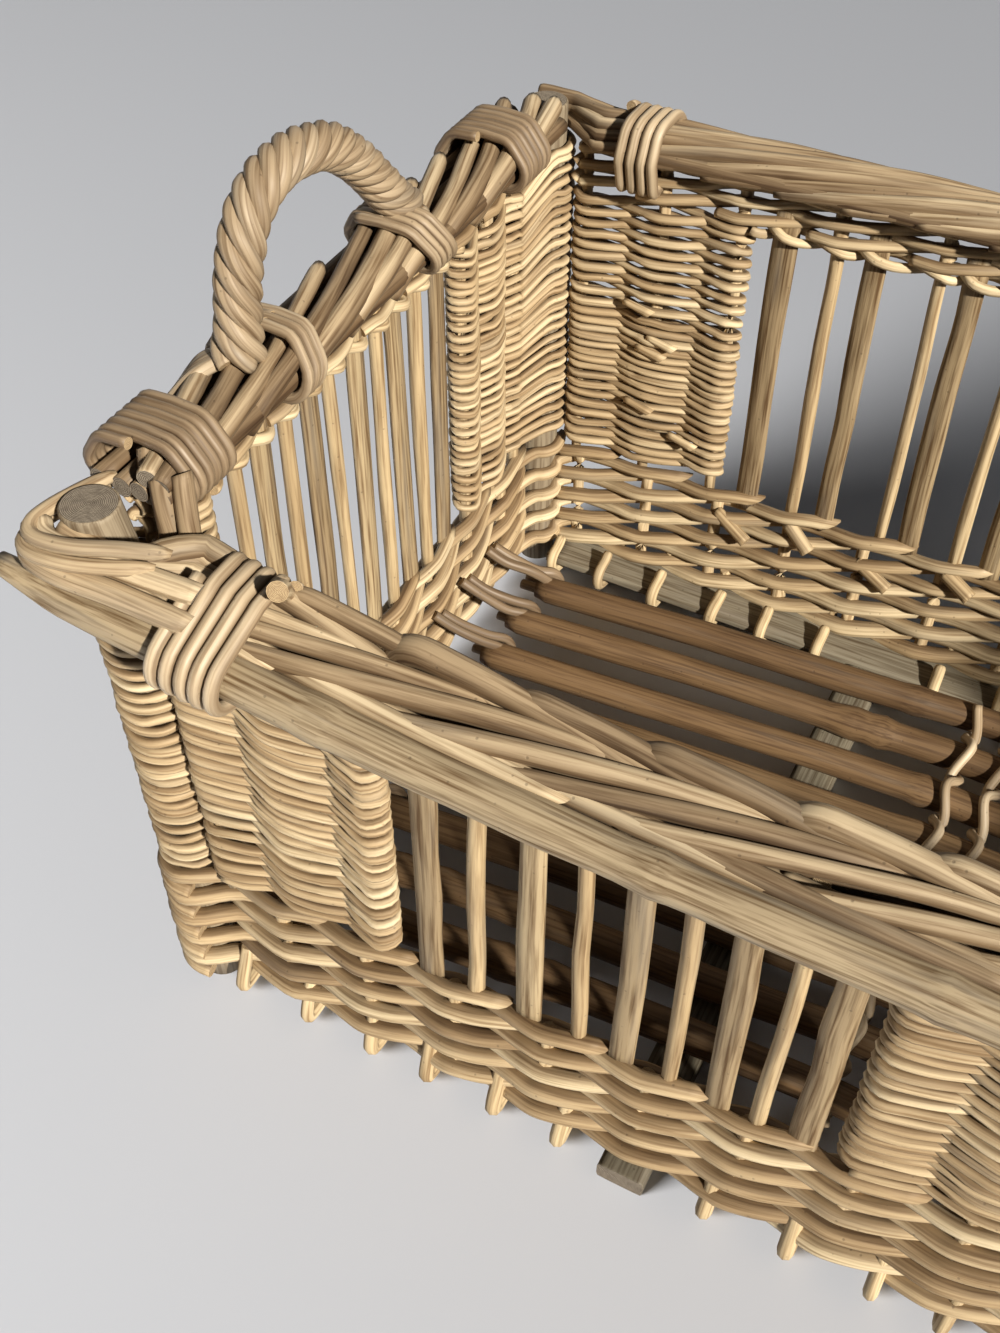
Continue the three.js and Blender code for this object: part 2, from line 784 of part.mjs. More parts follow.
function addLongWall(face, rim, steps, fromCorner, railed) {
  const wall = new THREE.Group();
  const facing = face === 'front' ? 1 : -1;
  wall.position.y = -facing * halfWidth;
  wall.rotation.z = face === 'front' ? 0 : Math.PI;
  basket.add(wall);
  const innerHalf = halfLength - cornerInner;
  const windowOuter = halfLength - cornerPanelEdge;
  const windowInner = middlePanelWidth / 2;
  const circlesAt = (x) => [
    ...lifted(longBorderRods, rim(x)),
    ...(railed ? lifted([railCircle], railHeight(x)) : []),
  ];
  const starts = [-halfLength + fromCorner, halfLength - fromCorner - canePitch * longLashingTurns];
  const slots = starts.map((start) => (
    lashingSlot(rim, circlesAt, start, longLashingTurns, canePitch, caneDiameter)
  ));
  add(wall, `base_weave_${face}`, baseWeave(innerHalf), materials.weave);
  add(wall, `base_board_${face}`, baseBoard(), materials.boards);
  add(wall, `top_weave_${face}`, topWeave(rim, innerHalf, steps, slots), materials.weave);
  const posts = [postHole(-halfLength + postInset), postHole(halfLength - postInset)];
  const rods = cut(border(longBorderRods, rim, -halfLength, halfLength, steps), posts);
  add(wall, `border_${face}`, rods, materials.rods);
  if (railed) add(wall, `rail_${face}`, rail(steps), materials.rail);
  add(wall, `middle_panel_${face}`, wallPanel(-windowInner, windowInner, rim), materials.weave);
  [-1, 1].forEach((side) => {
    const end = side * facing < 0 ? 'left' : 'right';
    const span = (a, b) => [Math.min(side * a, side * b), Math.max(side * a, side * b)];
    const [panelStart, panelEnd] = span(innerHalf, windowOuter);
    add(wall, `side_panel_${face}_${end}`, wallPanel(panelStart, panelEnd, rim), materials.weave);
    const [barStart, barEnd] = span(windowOuter, windowInner);
    const bars = windowBars(barStart, barEnd, rim, true);
    add(wall, `window_bars_${face}_${end}`, bars, materials.bars);
    const name = `lashing_${face}_${end}`;
    const start = side < 0 ? starts[0] : starts[1];
    add(wall, name, lashing(name, circlesAt, start, longLashingTurns), materials.cane);
  });
}

function addEndWall(end) {
  const wall = new THREE.Group();
  const sideX = end === 'left' ? -1 : 1;
  const toFront = -sideX;
  wall.position.x = sideX * halfLength;
  wall.rotation.z = (sideX * Math.PI) / 2;
  basket.add(wall);
  const rim = () => rimHeight;
  const rodsAt = () => lifted(endBorderRods, rimHeight);
  const localX = (fromFront) => toFront * (halfWidth - fromFront);
  const span = (a, b) => [Math.min(localX(a), localX(b)), Math.max(localX(a), localX(b))];
  const innerHalf = halfWidth - cornerInner;
  const windowEnd = endWindowStart + endWindowWidth;
  const lashingLength = canePitch * endLashingTurns;
  const lashings = [
    ['front', span(endLashingFrontStart, endLashingFrontStart + lashingLength)[0]],
    ['back', span(basketWidth - endLashingBackStart - lashingLength, basketWidth - endLashingBackStart)[0]],
  ];
  const slots = lashings.map(([, start]) => (
    lashingSlot(rim, rodsAt, start, endLashingTurns, canePitch, caneDiameter)
  ));
  const wrapPitch = handleWrapDiameter + caneGap;
  const wrapLength = wrapPitch * handleWrapTurns;
  const backFoot = handleFrontFoot + handleSpan;
  const wrapStarts = [
    span(handleFrontFoot + handleWrapOffset, handleFrontFoot + handleWrapOffset + wrapLength)[0],
    span(backFoot - handleWrapOffset - wrapLength, backFoot - handleWrapOffset)[0],
  ];
  wrapStarts.forEach((start) => {
    slots.push(lashingSlot(rim, rodsAt, start, handleWrapTurns, wrapPitch, handleWrapDiameter));
  });
  add(wall, `base_weave_${end}`, baseWeave(innerHalf), materials.weave);
  add(wall, `top_weave_${end}`, topWeave(rim, innerHalf, 1, slots), materials.weave);
  const [borderStart, borderEnd] = span(endBorderFrontStart, basketWidth - cornerInner);
  add(wall, `border_${end}`, border(endBorderRods, rim, borderStart, borderEnd, 1), materials.rods);
  const [barStart, barEnd] = span(endWindowStart, windowEnd);
  add(wall, `window_bars_${end}`, windowBars(barStart, barEnd, rim, false), materials.bars);
  const frontTop = cornerHeadroom(frontRim) - seatGap;
  const backTop = cornerHeadroom(backRim) - seatGap;
  const frontWeave = cornerWeave(endWindowStart, frontTop, toFront);
  add(wall, `corner_weave_front_${end}`, frontWeave, materials.weave);
  const backWeave = cornerWeave(basketWidth - windowEnd, backTop, -toFront);
  add(wall, `corner_weave_back_${end}`, backWeave, materials.weave);
  lashings.forEach(([corner, start]) => {
    const name = `end_lashing_${corner}_${end}`;
    add(wall, name, lashing(name, rodsAt, start, endLashingTurns), materials.cane);
  });
  add(wall, `handle_${end}`, handle(`handle_${end}`, toFront), materials.handle);
}

addPosts();
addFloor();
addLongWall('front', frontRim, frontRimSteps, frontLashingStart, true);
addLongWall('back', backRim, backRimSteps, backLashingStart, false);
addEndWall('left');
addEndWall('right');

// The rail makes the front wall reach further out, so the whole basket moves back by half of that.
const middle = new THREE.Box3().setFromObject(basket, true).getCenter(new THREE.Vector3());
basket.children.forEach((piece) => {
  piece.position.y -= middle.y;
});

export default basket;
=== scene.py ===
import json
import math

import bpy
import numpy as np
from mathutils import Matrix, Vector

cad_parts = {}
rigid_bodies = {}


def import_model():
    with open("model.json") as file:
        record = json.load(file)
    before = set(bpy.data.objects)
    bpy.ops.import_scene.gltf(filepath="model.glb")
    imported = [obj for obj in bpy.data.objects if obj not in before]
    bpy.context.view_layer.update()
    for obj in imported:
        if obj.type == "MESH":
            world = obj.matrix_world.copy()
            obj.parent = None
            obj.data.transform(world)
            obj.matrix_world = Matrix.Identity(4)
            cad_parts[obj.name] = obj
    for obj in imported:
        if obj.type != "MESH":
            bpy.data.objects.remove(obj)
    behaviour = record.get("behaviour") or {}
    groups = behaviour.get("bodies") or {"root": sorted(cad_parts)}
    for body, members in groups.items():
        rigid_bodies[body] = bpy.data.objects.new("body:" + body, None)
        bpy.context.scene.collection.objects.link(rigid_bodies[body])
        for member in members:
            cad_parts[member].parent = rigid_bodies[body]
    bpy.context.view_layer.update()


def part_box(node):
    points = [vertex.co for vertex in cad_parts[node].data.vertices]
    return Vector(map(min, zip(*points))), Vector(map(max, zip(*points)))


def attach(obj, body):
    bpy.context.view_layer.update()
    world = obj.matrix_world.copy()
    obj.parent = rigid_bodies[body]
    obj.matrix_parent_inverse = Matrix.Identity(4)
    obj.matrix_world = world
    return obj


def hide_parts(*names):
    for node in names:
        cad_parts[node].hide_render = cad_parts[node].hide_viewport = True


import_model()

# Rectangular willow basket. Lengths below are millimetres in the basket's own frame
# (+X along the long walls, front wall at -Y, ground at z = 0) and become metres in the meshes.
# The walls lie evenly about y = 0 here; SHIFT moves them to where the rail makes the box's middle y = 0.

HALF_LENGTH = 575.0   # middle of the basket to the end walls' outer faces
HALF_WIDTH = 290.0    # middle to the long walls' outer faces
WALL_MIDDLE = 18.0    # outer face to the line of the stakes
SILL = 140.0          # top of the base band
POST_IN = 25.0        # outer face to a post's middle
HEAD_DROP = 62.0      # rim down to the windows' heads
BORDER_DROP = 26.0    # rim down to the border's underside
END_RIM = 465.0
RAIL_DEPTH = -12.3    # the rail's middle, outside the front wall
BATTEN_AT = 207.0     # middle of the basket to the battens
POLES, POLE_PITCH, POLE_HEIGHT, POLE_RADIUS = 9, 48.04, 37.8, 12.6
POST_RADIUS = 16.8
ROUND_OUTSIDE, ROUND_INSIDE = 22.5, 20.5    # a base rod's way round a post, from the post's middle
HANDLE_DEPTH = 21.0   # outer face of the end wall to the handle's arch
STRANDS, ROPE_TURNS = 5, 4.6
ENDS = (("left", -1), ("right", 1))
SIDES = (("front", -1), ("back", 1))
LONG_WALLS = ("front", "back")
END_WALLS = ("left", "right")

post_low, post_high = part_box("post_front_left")
SHIFT = 500.0 * (post_low.y + post_high.y) + HALF_WIDTH - POST_IN

willow = np.random.default_rng(21)


# Camera

def photo_camera():
    """Camera solved from the basket's right angles: place, yaw, pitch and roll, and its focal length."""
    yaw, pitch, roll = math.radians(-28.006), math.radians(46.466), math.radians(-0.26)
    look = Vector((math.sin(yaw) * math.cos(pitch), math.cos(yaw) * math.cos(pitch), -math.sin(pitch)))
    level = Vector((math.cos(yaw), -math.sin(yaw), 0.0))
    upright = level.cross(look)
    right = math.cos(roll) * level + math.sin(roll) * upright
    top = -math.sin(roll) * level + math.cos(roll) * upright
    lens = bpy.data.cameras.new("photo_camera")
    lens.sensor_width = 36.0
    lens.lens = 1435.28 * 36.0 / 1333.0
    camera = bpy.data.objects.new("photo_camera", lens)
    turn = Matrix((right, top, -look)).transposed().to_4x4()
    camera.matrix_world = Matrix.Translation((-0.0811, -0.6944 + 0.001 * SHIFT, 0.9521)) @ turn
    bpy.context.scene.collection.objects.link(camera)
    bpy.context.scene.camera = camera


photo_camera()


# Curves and rods

def front_rim(x):
    """Height of the front border's top: 404 at mid-length, rising with the fourth power of x to 450."""
    return 404.0 + 46.0 * (np.asarray(x) / HALF_LENGTH) ** 4


def back_rim(x):
    """Height of the back border's top: 459 at mid-length, falling with the square of x to 456."""
    return 459.0 - 3.0 * (np.asarray(x) / HALF_LENGTH) ** 2


def end_rim(y):
    """Height of the end borders' tops, level."""
    return np.full_like(np.asarray(y, float), END_RIM)


def rail_height(x):
    """Height of the rail's middle: 378.5 at mid-length, rising with the square of x to 406.5."""
    return 378.5 + 28.0 * (np.asarray(x) / HALF_LENGTH) ** 2


RIM = {"front": front_rim, "back": back_rim, "left": end_rim, "right": end_rim}


def on_wall(wall, along, depth, height):
    """A wall's measures as points: along it in the basket's X or Y, depth inwards from its outer face."""
    along, depth, height = np.broadcast_arrays(*(np.asarray(v, float) for v in (along, depth, height)))
    x, y = {
        "front": (along, depth - HALF_WIDTH),
        "back": (along, HALF_WIDTH - depth),
        "left": (depth - HALF_LENGTH, along),
        "right": (HALF_LENGTH - depth, along),
    }[wall]
    return np.stack([x, y, height], axis=-1)


def eased(knots, count):
    """Curve through knots (..., K, D) at count even steps: between two knots the cubic of Catmull and Rom."""
    knots = np.asarray(knots, float)
    before = 2 * knots[..., :1, :] - knots[..., 1:2, :]
    after = 2 * knots[..., -1:, :] - knots[..., -2:-1, :]
    padded = np.concatenate([before, knots, after], axis=-2)
    step = np.linspace(0, knots.shape[-2] - 1, count)
    index = np.minimum(step.astype(int), knots.shape[-2] - 2)
    f = (step - index)[:, None]
    a, b, c, d = (padded[..., index + k, :] for k in range(4))
    return 0.5 * (2 * b + (c - a) * f + (2 * a - 5 * b + 4 * c - d) * f**2 + (3 * b - a - 3 * c + d) * f**3)


def even(path, count):
    """One path (K, D) read at count points that lie evenly along its length."""
    length = np.concatenate([[0], np.cumsum(np.linalg.norm(np.diff(path[:, :3], axis=0), axis=1))])
    at = np.linspace(0, length[-1], count)
    return np.stack([np.interp(at, length, path[:, k]) for k in range(path.shape[1])], axis=-1)


def rods(paths, wide, high=None, up=(0, 0, 1), sides=8, tone=None, shade=0.0, crease_shade=(0.0, 0.0),
         lobes=None, kind=0, slant=0.0):
    """Rods along paths (M, N, 3): a ring point is centre + wide cos(a) side + high sin(a) top,
    where side = up x along and top = along x side, for every rod, step and angle at once. The last ring
    leans by slant times its height over the centre, which makes a slanted cut. Painted shade, kept in the
    shade attribute, grows by the two crevice weights times the third powers of |cos(a)| and |sin(a)|, where
    a rod lies against its neighbours and the crevices between them fall in shade."""
    paths = np.asarray(paths, float)
    if paths.ndim == 2:
        paths = paths[None]
    m, n = paths.shape[:2]
    spread = lambda value: np.broadcast_to(np.asarray(value, float), (m, n))
    wide, high = spread(wide), spread(wide if high is None else high)
    along = np.gradient(paths, axis=1)
    along /= np.linalg.norm(along, axis=-1, keepdims=True) + 1e-9
    side = np.cross(np.asarray(up, float), along)
    side /= np.linalg.norm(side, axis=-1, keepdims=True) + 1e-9
    top = np.cross(along, side)
    angle = 2 * np.pi * np.arange(sides) / sides
    swell = 1.0 if lobes is None else lobes(angle)
    across = wide[..., None] * np.cos(angle) * swell
    upward = high[..., None] * np.sin(angle) * swell
    verts = paths[:, :, None] + across[..., None] * side[:, :, None] + upward[..., None] * top[:, :, None]
    verts[:, -1] += slant * upward[:, -1, :, None] * along[:, -1, None]
    steps = np.linalg.norm(np.diff(paths, axis=1), axis=-1)
    length = np.concatenate([np.zeros((m, 1)), np.cumsum(steps, axis=1)], axis=1)
    start = willow.uniform(0, 4000, (m, 1))
    grain = np.stack(np.broadcast_arrays((length + start)[..., None], across, upward), axis=-1)
    tone = spread(willow.random((m, 1)) if tone is None else tone)
    # Painted shade: darker where a rod's sides lie against its neighbours, by the two crevice weights.
    dirt_and_painted_shade = crease_shade[0] * np.abs(np.cos(angle)) ** 3 + crease_shade[1] * np.abs(np.sin(angle)) ** 3
    shade = np.clip(spread(shade)[..., None] + dirt_and_painted_shade, 0, 1)
    ring = np.arange(sides)
    base = (np.arange(m)[:, None, None] * n + np.arange(n - 1)[None, :, None]) * sides
    nxt = (ring + 1) % sides
    quads = np.stack([base + ring, base + nxt, base + sides + nxt, base + sides + ring], axis=-1)
    first = np.arange(m)[:, None] * n * sides
    caps = np.concatenate([first + ring[::-1], first + (n - 1) * sides + ring])
    return {
        "co": verts.reshape(-1, 3),
        "grain": grain.reshape(-1, 3),
        "tone": np.repeat(tone.reshape(-1), sides),
        "shade": shade.reshape(-1),
        "quads": quads.reshape(-1, 4),
        "caps": caps,
        "kind": kind,
    }


def piece(name, bundles, finishes, stands_for):
    """One object from bundles of rods, in metres: the sides get the finish of their kind, and the cut ends
    the last."""
    co = np.concatenate([b["co"] for b in bundles])
    co = (co + (0.0, SHIFT, 0.0)) * 0.001
    grain = np.concatenate([b["grain"] for b in bundles]) * 0.001
    offsets = np.cumsum([0] + [len(b["co"]) for b in bundles[:-1]])
    sides = np.concatenate([b["quads"] + o for b, o in zip(bundles, offsets)])
    ends = [b["caps"] + o for b, o in zip(bundles, offsets)]
    kinds = np.concatenate([np.full(len(b["quads"]), b["kind"]) for b in bundles])
    corners = np.concatenate([sides.ravel()] + [e.ravel() for e in ends])
    sizes = np.concatenate([np.full(len(sides), 4)] + [np.full(len(e), e.shape[1]) for e in ends])
    mesh = bpy.data.meshes.new(name)
    mesh.vertices.add(len(co))
    mesh.vertices.foreach_set("co", co.astype(np.float32).ravel())
    mesh.loops.add(len(corners))
    mesh.loops.foreach_set("vertex_index", corners.astype(np.int32))
    mesh.polygons.add(len(sizes))
    mesh.polygons.foreach_set("loop_start", np.concatenate([[0], np.cumsum(sizes)[:-1]]).astype(np.int32))
    is_end = np.arange(len(sizes)) >= len(sides)
    mesh.polygons.foreach_set("use_smooth", ~is_end)
    for finish in finishes:
        mesh.materials.append(finish)
    index = np.full(len(sizes), len(finishes) - 1, np.int32)
    index[: len(sides)] = kinds
    mesh.polygons.foreach_set("material_index", index)
    place = mesh.attributes.new("grain", "FLOAT_VECTOR", "POINT")
    place.data.foreach_set("vector", grain.astype(np.float32).ravel())
    for key in ("tone", "shade"):
        values = np.concatenate([b[key] for b in bundles]).astype(np.float32)
        mesh.attributes.new(key, "FLOAT", "POINT").data.foreach_set("value", values)
    mesh.update(calc_edges=True)
    mesh.validate()
    thing = bpy.data.objects.new(name, mesh)
    bpy.context.scene.collection.objects.link(thing)
    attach(thing, "root")
    if stands_for:
        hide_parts(*stands_for)


def wander(shape, size, knots=6):
    """Smooth random drift along the last axis: random knots joined by straight lines, within +-size."""
    values = willow.uniform(-size, size, shape[:-1] + (knots,))
    at = np.linspace(0, knots - 1.001, shape[-1])
    index = at.astype(int)
    f = at - index
    return values[..., index] * (1 - f) + values[..., index + 1] * f


def slim_ends(count, bare=0.82, run=0.04):
    """Share of full thickness along a rod: 1 in the middle, easing to bare over the last run of each end."""
    t = np.linspace(0, 1, count)
    near = np.clip(np.minimum(t, 1 - t) / run, 0, 1)
    return bare + (1 - bare) * np.sqrt(near)


# Finishes

class Finish:
    """A node material in the making. A node's values are numbers or the outputs of other nodes."""

    def __init__(self, name):
        self.material = bpy.data.materials.new(name)
        self.material.use_nodes = True
        self.tree = self.material.node_tree
        self.tree.nodes.clear()
        self.grain = self.add("ShaderNodeAttribute", {}, "Vector", attribute_name="grain")

    def add(self, kind, values, output, **settings):
        """A new node; gives the output of that name."""
        node = self.tree.nodes.new(kind)
        for key, value in settings.items():
            setattr(node, key, value)
        for key, value in values.items():
            if isinstance(value, bpy.types.NodeSocket):
                self.tree.links.new(value, node.inputs[key])
            else:
                node.inputs[key].default_value = value
        return node.outputs[output]

    def along_grain(self, factors):
        """The grain's place, drawn out: the first factor runs along the rod, the others round it."""
        return self.add("ShaderNodeMapping", {"Vector": self.grain, "Scale": factors}, "Vector")

    def ramp(self, value, stops):
        """Colour by a value from 0 to 1, through stops of (position, red, green, blue)."""
        colour = self.add("ShaderNodeValToRGB", {"Fac": value}, "Color")
        elements = colour.node.color_ramp.elements
        while len(elements) < len(stops):
            elements.new(0.5)
        for element, (position, *shade) in zip(elements, stops):
            element.position = position
            element.color = (*shade, 1.0)
        return colour

    def done(self, colour, rough, sheen, height, strength, deep):
        """The surface, with fine relief from a height of a strength and a depth in metres."""
        relief = {"Height": height, "Strength": strength, "Distance": deep}
        normal = self.add("ShaderNodeBump", relief, "Normal")
        values = {"Base Color": colour, "Roughness": rough, "Specular IOR Level": sheen, "Normal": normal}
        surface = self.add("ShaderNodeBsdfPrincipled", values, "BSDF")
        output = self.tree.nodes.new("ShaderNodeOutputMaterial")
        self.tree.links.new(surface, output.inputs["Surface"])
        return self.material


STREAK_COLOUR = (0.30, 0.22, 0.14)
WORN_GREY = (0.20, 0.17, 0.13)
# Dark brown of the painted shade in crevices and under other rods.
PAINTED_SHADE_COLOUR = (0.22, 0.15, 0.09)
PIT_COLOUR = (0.02, 0.012, 0.008)


def finish(name, *stops, streak=0.5, rough=(0.55, 0.8), bump=0.35, weather=0.35):
    """Dry wood read from each rod's own grain (metres along and round it): long fine streaks, a colour by
    the rod's tone, grey weathering in patches, insect pits, and painted shade that darkens the colour
    where the shade attribute says deep."""
    wood = Finish(name)
    tone = wood.add("ShaderNodeAttribute", {}, "Fac", attribute_name="tone")
    shade = wood.add("ShaderNodeAttribute", {}, "Fac", attribute_name="shade")
    place = wood.add("ShaderNodeTexCoord", {}, "Object")

    def noise(factors, detail):
        values = {"Vector": wood.along_grain(factors), "Scale": 1.0, "Detail": detail}
        return wood.add("ShaderNodeTexNoise", values, "Fac")

    def ranged(value, low, high, to_low, to_high):
        values = {"Value": value, "From Min": low, "From Max": high, "To Min": to_low, "To Max": to_high}
        return wood.add("ShaderNodeMapRange", values, "Result")

    def sums(operation, a, b):
        return wood.add("ShaderNodeMath", {0: a, 1: b}, "Value", operation=operation)

    def blend(kind, factor, a, b):
        values = {0: factor, 6: a, 7: (*b, 1.0)}
        return wood.add("ShaderNodeMix", values, 2, data_type="RGBA", blend_type=kind)

    streaks = noise((14.0, 420.0, 420.0), 4.0)
    fibres = noise((60.0, 1500.0, 1500.0), 2.0)
    patches = noise((11.0, 60.0, 60.0), 3.0)
    spots = wood.add("ShaderNodeTexVoronoi", {"Vector": place, "Scale": 95.0}, "Distance")
    pit = ranged(spots, 0.055, 0.10, 0.35, 0.0)

    colour = wood.ramp(sums("ADD", sums("MULTIPLY", tone, 0.62), sums("MULTIPLY", patches, 0.38)), stops)
    colour = blend("MULTIPLY", ranged(streaks, 0.42, 0.68, 0.0, streak), colour, STREAK_COLOUR)
    worn = ranged(noise((7.0, 90.0, 90.0), 4.0), 0.54, 0.72, 0.0, weather)
    colour = blend("MIX", worn, colour, WORN_GREY)
    # Painted shade: the shade attribute darkens the colour toward a dark brown.
    colour = blend("MULTIPLY", ranged(shade, 0.0, 1.0, 0.0, 0.9), colour, PAINTED_SHADE_COLOUR)
    colour = blend("MIX", pit, colour, PIT_COLOUR)
    height = sums("ADD", sums("MULTIPLY", streaks, 0.8), sums("MULTIPLY", fibres, 0.35))
    height = sums("SUBTRACT", height, pit)
    return wood.done(colour, ranged(streaks, 0.3, 0.7, *rough), 0.35, height, bump, 0.0012)


def sawn_end(name, pale, dark, rings=420.0):
    """Cut end of a rod: growth rings by the distance from its heart, broken up by dirt."""
    wood = Finish(name)
    across = wood.along_grain((0.0, 1.0, 1.0))
    values = {"Vector": across, "Scale": rings, "Distortion": 2.5, "Detail Scale": 3.0}
    wave = wood.add("ShaderNodeTexWave", values, "Fac", wave_type="RINGS", rings_direction="SPHERICAL")
    dirt_and_painted_shade = wood.add("ShaderNodeTexNoise", {"Vector": wood.grain, "Scale": 260.0}, "Fac")
    level = wood.add("ShaderNodeMath", {0: wave, 1: dirt_and_painted_shade}, "Value", operation="MULTIPLY")
    colour = wood.ramp(level, [(0.05, *dark), (0.5, *pale)])
    return wood.done(colour, 0.9, 0.2, level, 0.5, 0.0008)


weaver_willow = finish("weaver_willow", (0.0, 0.25, 0.165, 0.085), (0.25, 0.42, 0.30, 0.165),
                       (0.55, 0.56, 0.425, 0.25), (0.85, 0.70, 0.575, 0.37), streak=0.75)
stick_willow = finish("stick_willow", (0.0, 0.30, 0.205, 0.105), (0.4, 0.46, 0.34, 0.19),
                      (0.85, 0.60, 0.47, 0.28), streak=0.8, weather=0.3)
lath_wood = finish("lath_wood", (0.0, 0.22, 0.155, 0.085), (0.5, 0.34, 0.25, 0.14), (0.9, 0.46, 0.355, 0.21),
                   streak=1.0, weather=0.45)
border_willow = finish("border_willow", (0.0, 0.19, 0.13, 0.075), (0.4, 0.37, 0.27, 0.16),
                       (0.85, 0.62, 0.495, 0.32), streak=0.85, weather=0.45)
rail_wood = finish("rail_wood", (0.0, 0.24, 0.18, 0.11), (0.5, 0.35, 0.27, 0.165), (1.0, 0.47, 0.375, 0.24),
                   streak=1.0, weather=0.6)
cane = finish("cane", (0.0, 0.33, 0.24, 0.145), (0.5, 0.47, 0.36, 0.23), (1.0, 0.60, 0.49, 0.34),
              streak=0.6, weather=0.4, rough=(0.42, 0.65), bump=0.2)
brown_cane = finish("brown_cane", (0.0, 0.15, 0.10, 0.06), (0.5, 0.29, 0.21, 0.13), (1.0, 0.50, 0.40, 0.27),
                    streak=0.7, rough=(0.42, 0.65), bump=0.25)
rope_willow = finish("rope_willow", (0.0, 0.20, 0.14, 0.085), (0.5, 0.36, 0.27, 0.17),
                     (1.0, 0.54, 0.44, 0.31), streak=0.8, weather=0.45, rough=(0.45, 0.7))
pole_wood = finish("pole_wood", (0.0, 0.10, 0.056, 0.026), (0.5, 0.19, 0.115, 0.055), (1.0, 0.31, 0.20, 0.10),
                   streak=0.8, weather=0.2, rough=(0.45, 0.7))
grey_board = finish("grey_board", (0.0, 0.10, 0.085, 0.06), (0.5, 0.17, 0.145, 0.10),
                    (1.0, 0.26, 0.225, 0.165), streak=0.9, weather=0.6)
post_wood = finish("post_wood", (0.0, 0.17, 0.135, 0.09), (1.0, 0.32, 0.255, 0.17), streak=0.8, weather=0.5)
pale_end = sawn_end("pale_sawn_end", (0.50, 0.37, 0.21), (0.20, 0.13, 0.07))
grey_end = sawn_end("grey_sawn_end", (0.30, 0.25, 0.19), (0.10, 0.08, 0.06), rings=300.0)


# Weave

BASE_STAKES = {"front": 68.0 * np.arange(-7, 8), "back": 68.0 * (np.arange(-8, 8) + 0.5)}
BASE_STAKES["left"] = BASE_STAKES["right"] = np.array([-213, -163, -107, -48, 13, 76, 138, 201.0])
PANEL_STAKES = {
    "front": [np.array([-515, -452, -390.0]), np.array([-73, 0, 73.0]), np.array([390, 452, 515.0])],
    "back": [np.array([-515, -448, -384.0]), np.array([-73, 0, 73.0]), np.array([384, 448, 515.0])],
}
LATHS = {
    "front": np.array([-356, -287, -221, -158, -104.0]),
    "back": np.array([-348, -277, -204, -134, -93.0]),
}
STICKS = {"front": np.array([-324, -252, -190, -132.0]), "back": np.array([-307, -228, -163, -113.0])}
END_WINDOW = np.array([-182.0, 128.0])
END_STICKS = END_WINDOW[0] + 28.18 * np.array([1, 3, 5, 7, 9.0])
END_LATHS = END_WINDOW[0] + 28.18 * np.array([2, 4, 6, 8, 10.0])
END_STAKES = np.concatenate([[-228.0, -191.0], END_STICKS, [137.0, 181.0, 225.0]])

STROKE_AT = np.array([0.0, 0.25, 0.5, 0.68, 0.85])        # share of the way to the next stake
STROKE_SIDE = np.array([1.0, 0.74, 0.15, -0.4, -0.84])    # 1 and -1 are the stakes' two sides


def at_stake(wall, place):
    """Point (x, y) on the line of a wall's stakes."""
    return on_wall(wall, place, WALL_MIDDLE, 0)[:2]


def weaver_plan(wall, knots, reach):
    """Points (x, y) of knots (place, side, steps): a weaver's middle lies the reach away from the line of
    the stakes."""
    return on_wall(wall, knots[:, 0], WALL_MIDDLE - reach * knots[:, 1], 0)[:, :2]


def strokes(stakes, sign):
    """Knots (place, side, steps) of a rod that passes the stakes on alternate sides: it runs on past a stake
    along the wall's face, then crosses to the other side just before the next. One step is one interval."""
    gaps = np.diff(stakes)[:, None]
    count = np.arange(len(stakes) - 1)[:, None]
    place = stakes[:-1, None] + gaps * STROKE_AT
    side = sign * (-1.0) ** count * STROKE_SIDE
    inner = np.stack([place, side, count + STROKE_AT], axis=-1).reshape(-1, 3)
    last = len(stakes) - 1
    return np.vstack([inner, [stakes[-1], sign * (-1.0) ** last, last]])


def post_centre(sx, sy):
    """Middle of a corner post, by the signs of its x and y."""
    return np.array([sx * (HALF_LENGTH - POST_IN), sy * (HALF_WIDTH - POST_IN)])


def round_post(sx, sy, radius, degrees):
    """Points on a circle round a post, at degrees from the direction that leads away from the basket."""
    angle = math.atan2(sy, sx) + np.radians(degrees)
    return post_centre(sx, sy) + radius * np.stack([np.cos(angle), np.sin(angle)], axis=-1)


def course(stops, reach, sign):
    """Knots (x, y, steps) of one rod's whole way along walls and round posts. A stop is a wall with its
    stakes in order, or a post; the rod passes each stake and each post on the other side than the one
    before."""
    knots, count, before = [], 0, None
    for wall, what in stops:
        if wall == "post":
            sx, sy, turn = what
            first = last = post_centre(sx, sy)
        else:
            first, last = at_stake(wall, what[0]), at_stake(wall, what[-1])
        if before is not None:
            knots.append(np.append((before + first) / 2, count - 0.5)[None])
        before = last
        if wall == "post" and sign > 0:
            xy = round_post(sx, sy, ROUND_OUTSIDE, turn * np.array([-64, -32, 0, 32, 64.0]))
            knots.append(np.column_stack([xy, count + np.linspace(-0.2, 0.2, 5)]))
        elif wall == "post":
            xy = round_post(sx, sy, -ROUND_INSIDE, -turn * np.array([-28, 0, 28.0]))
            knots.append(np.column_stack([xy, count + np.linspace(-0.1, 0.1, 3)]))
        else:
            k = strokes(what, sign)
            knots.append(np.column_stack([weaver_plan(wall, k, reach), k[:, 2] + count]))
        passed = 1 if wall == "post" else len(what)
        count, sign = count + passed, sign * (-1) ** passed
    return np.vstack(knots), count


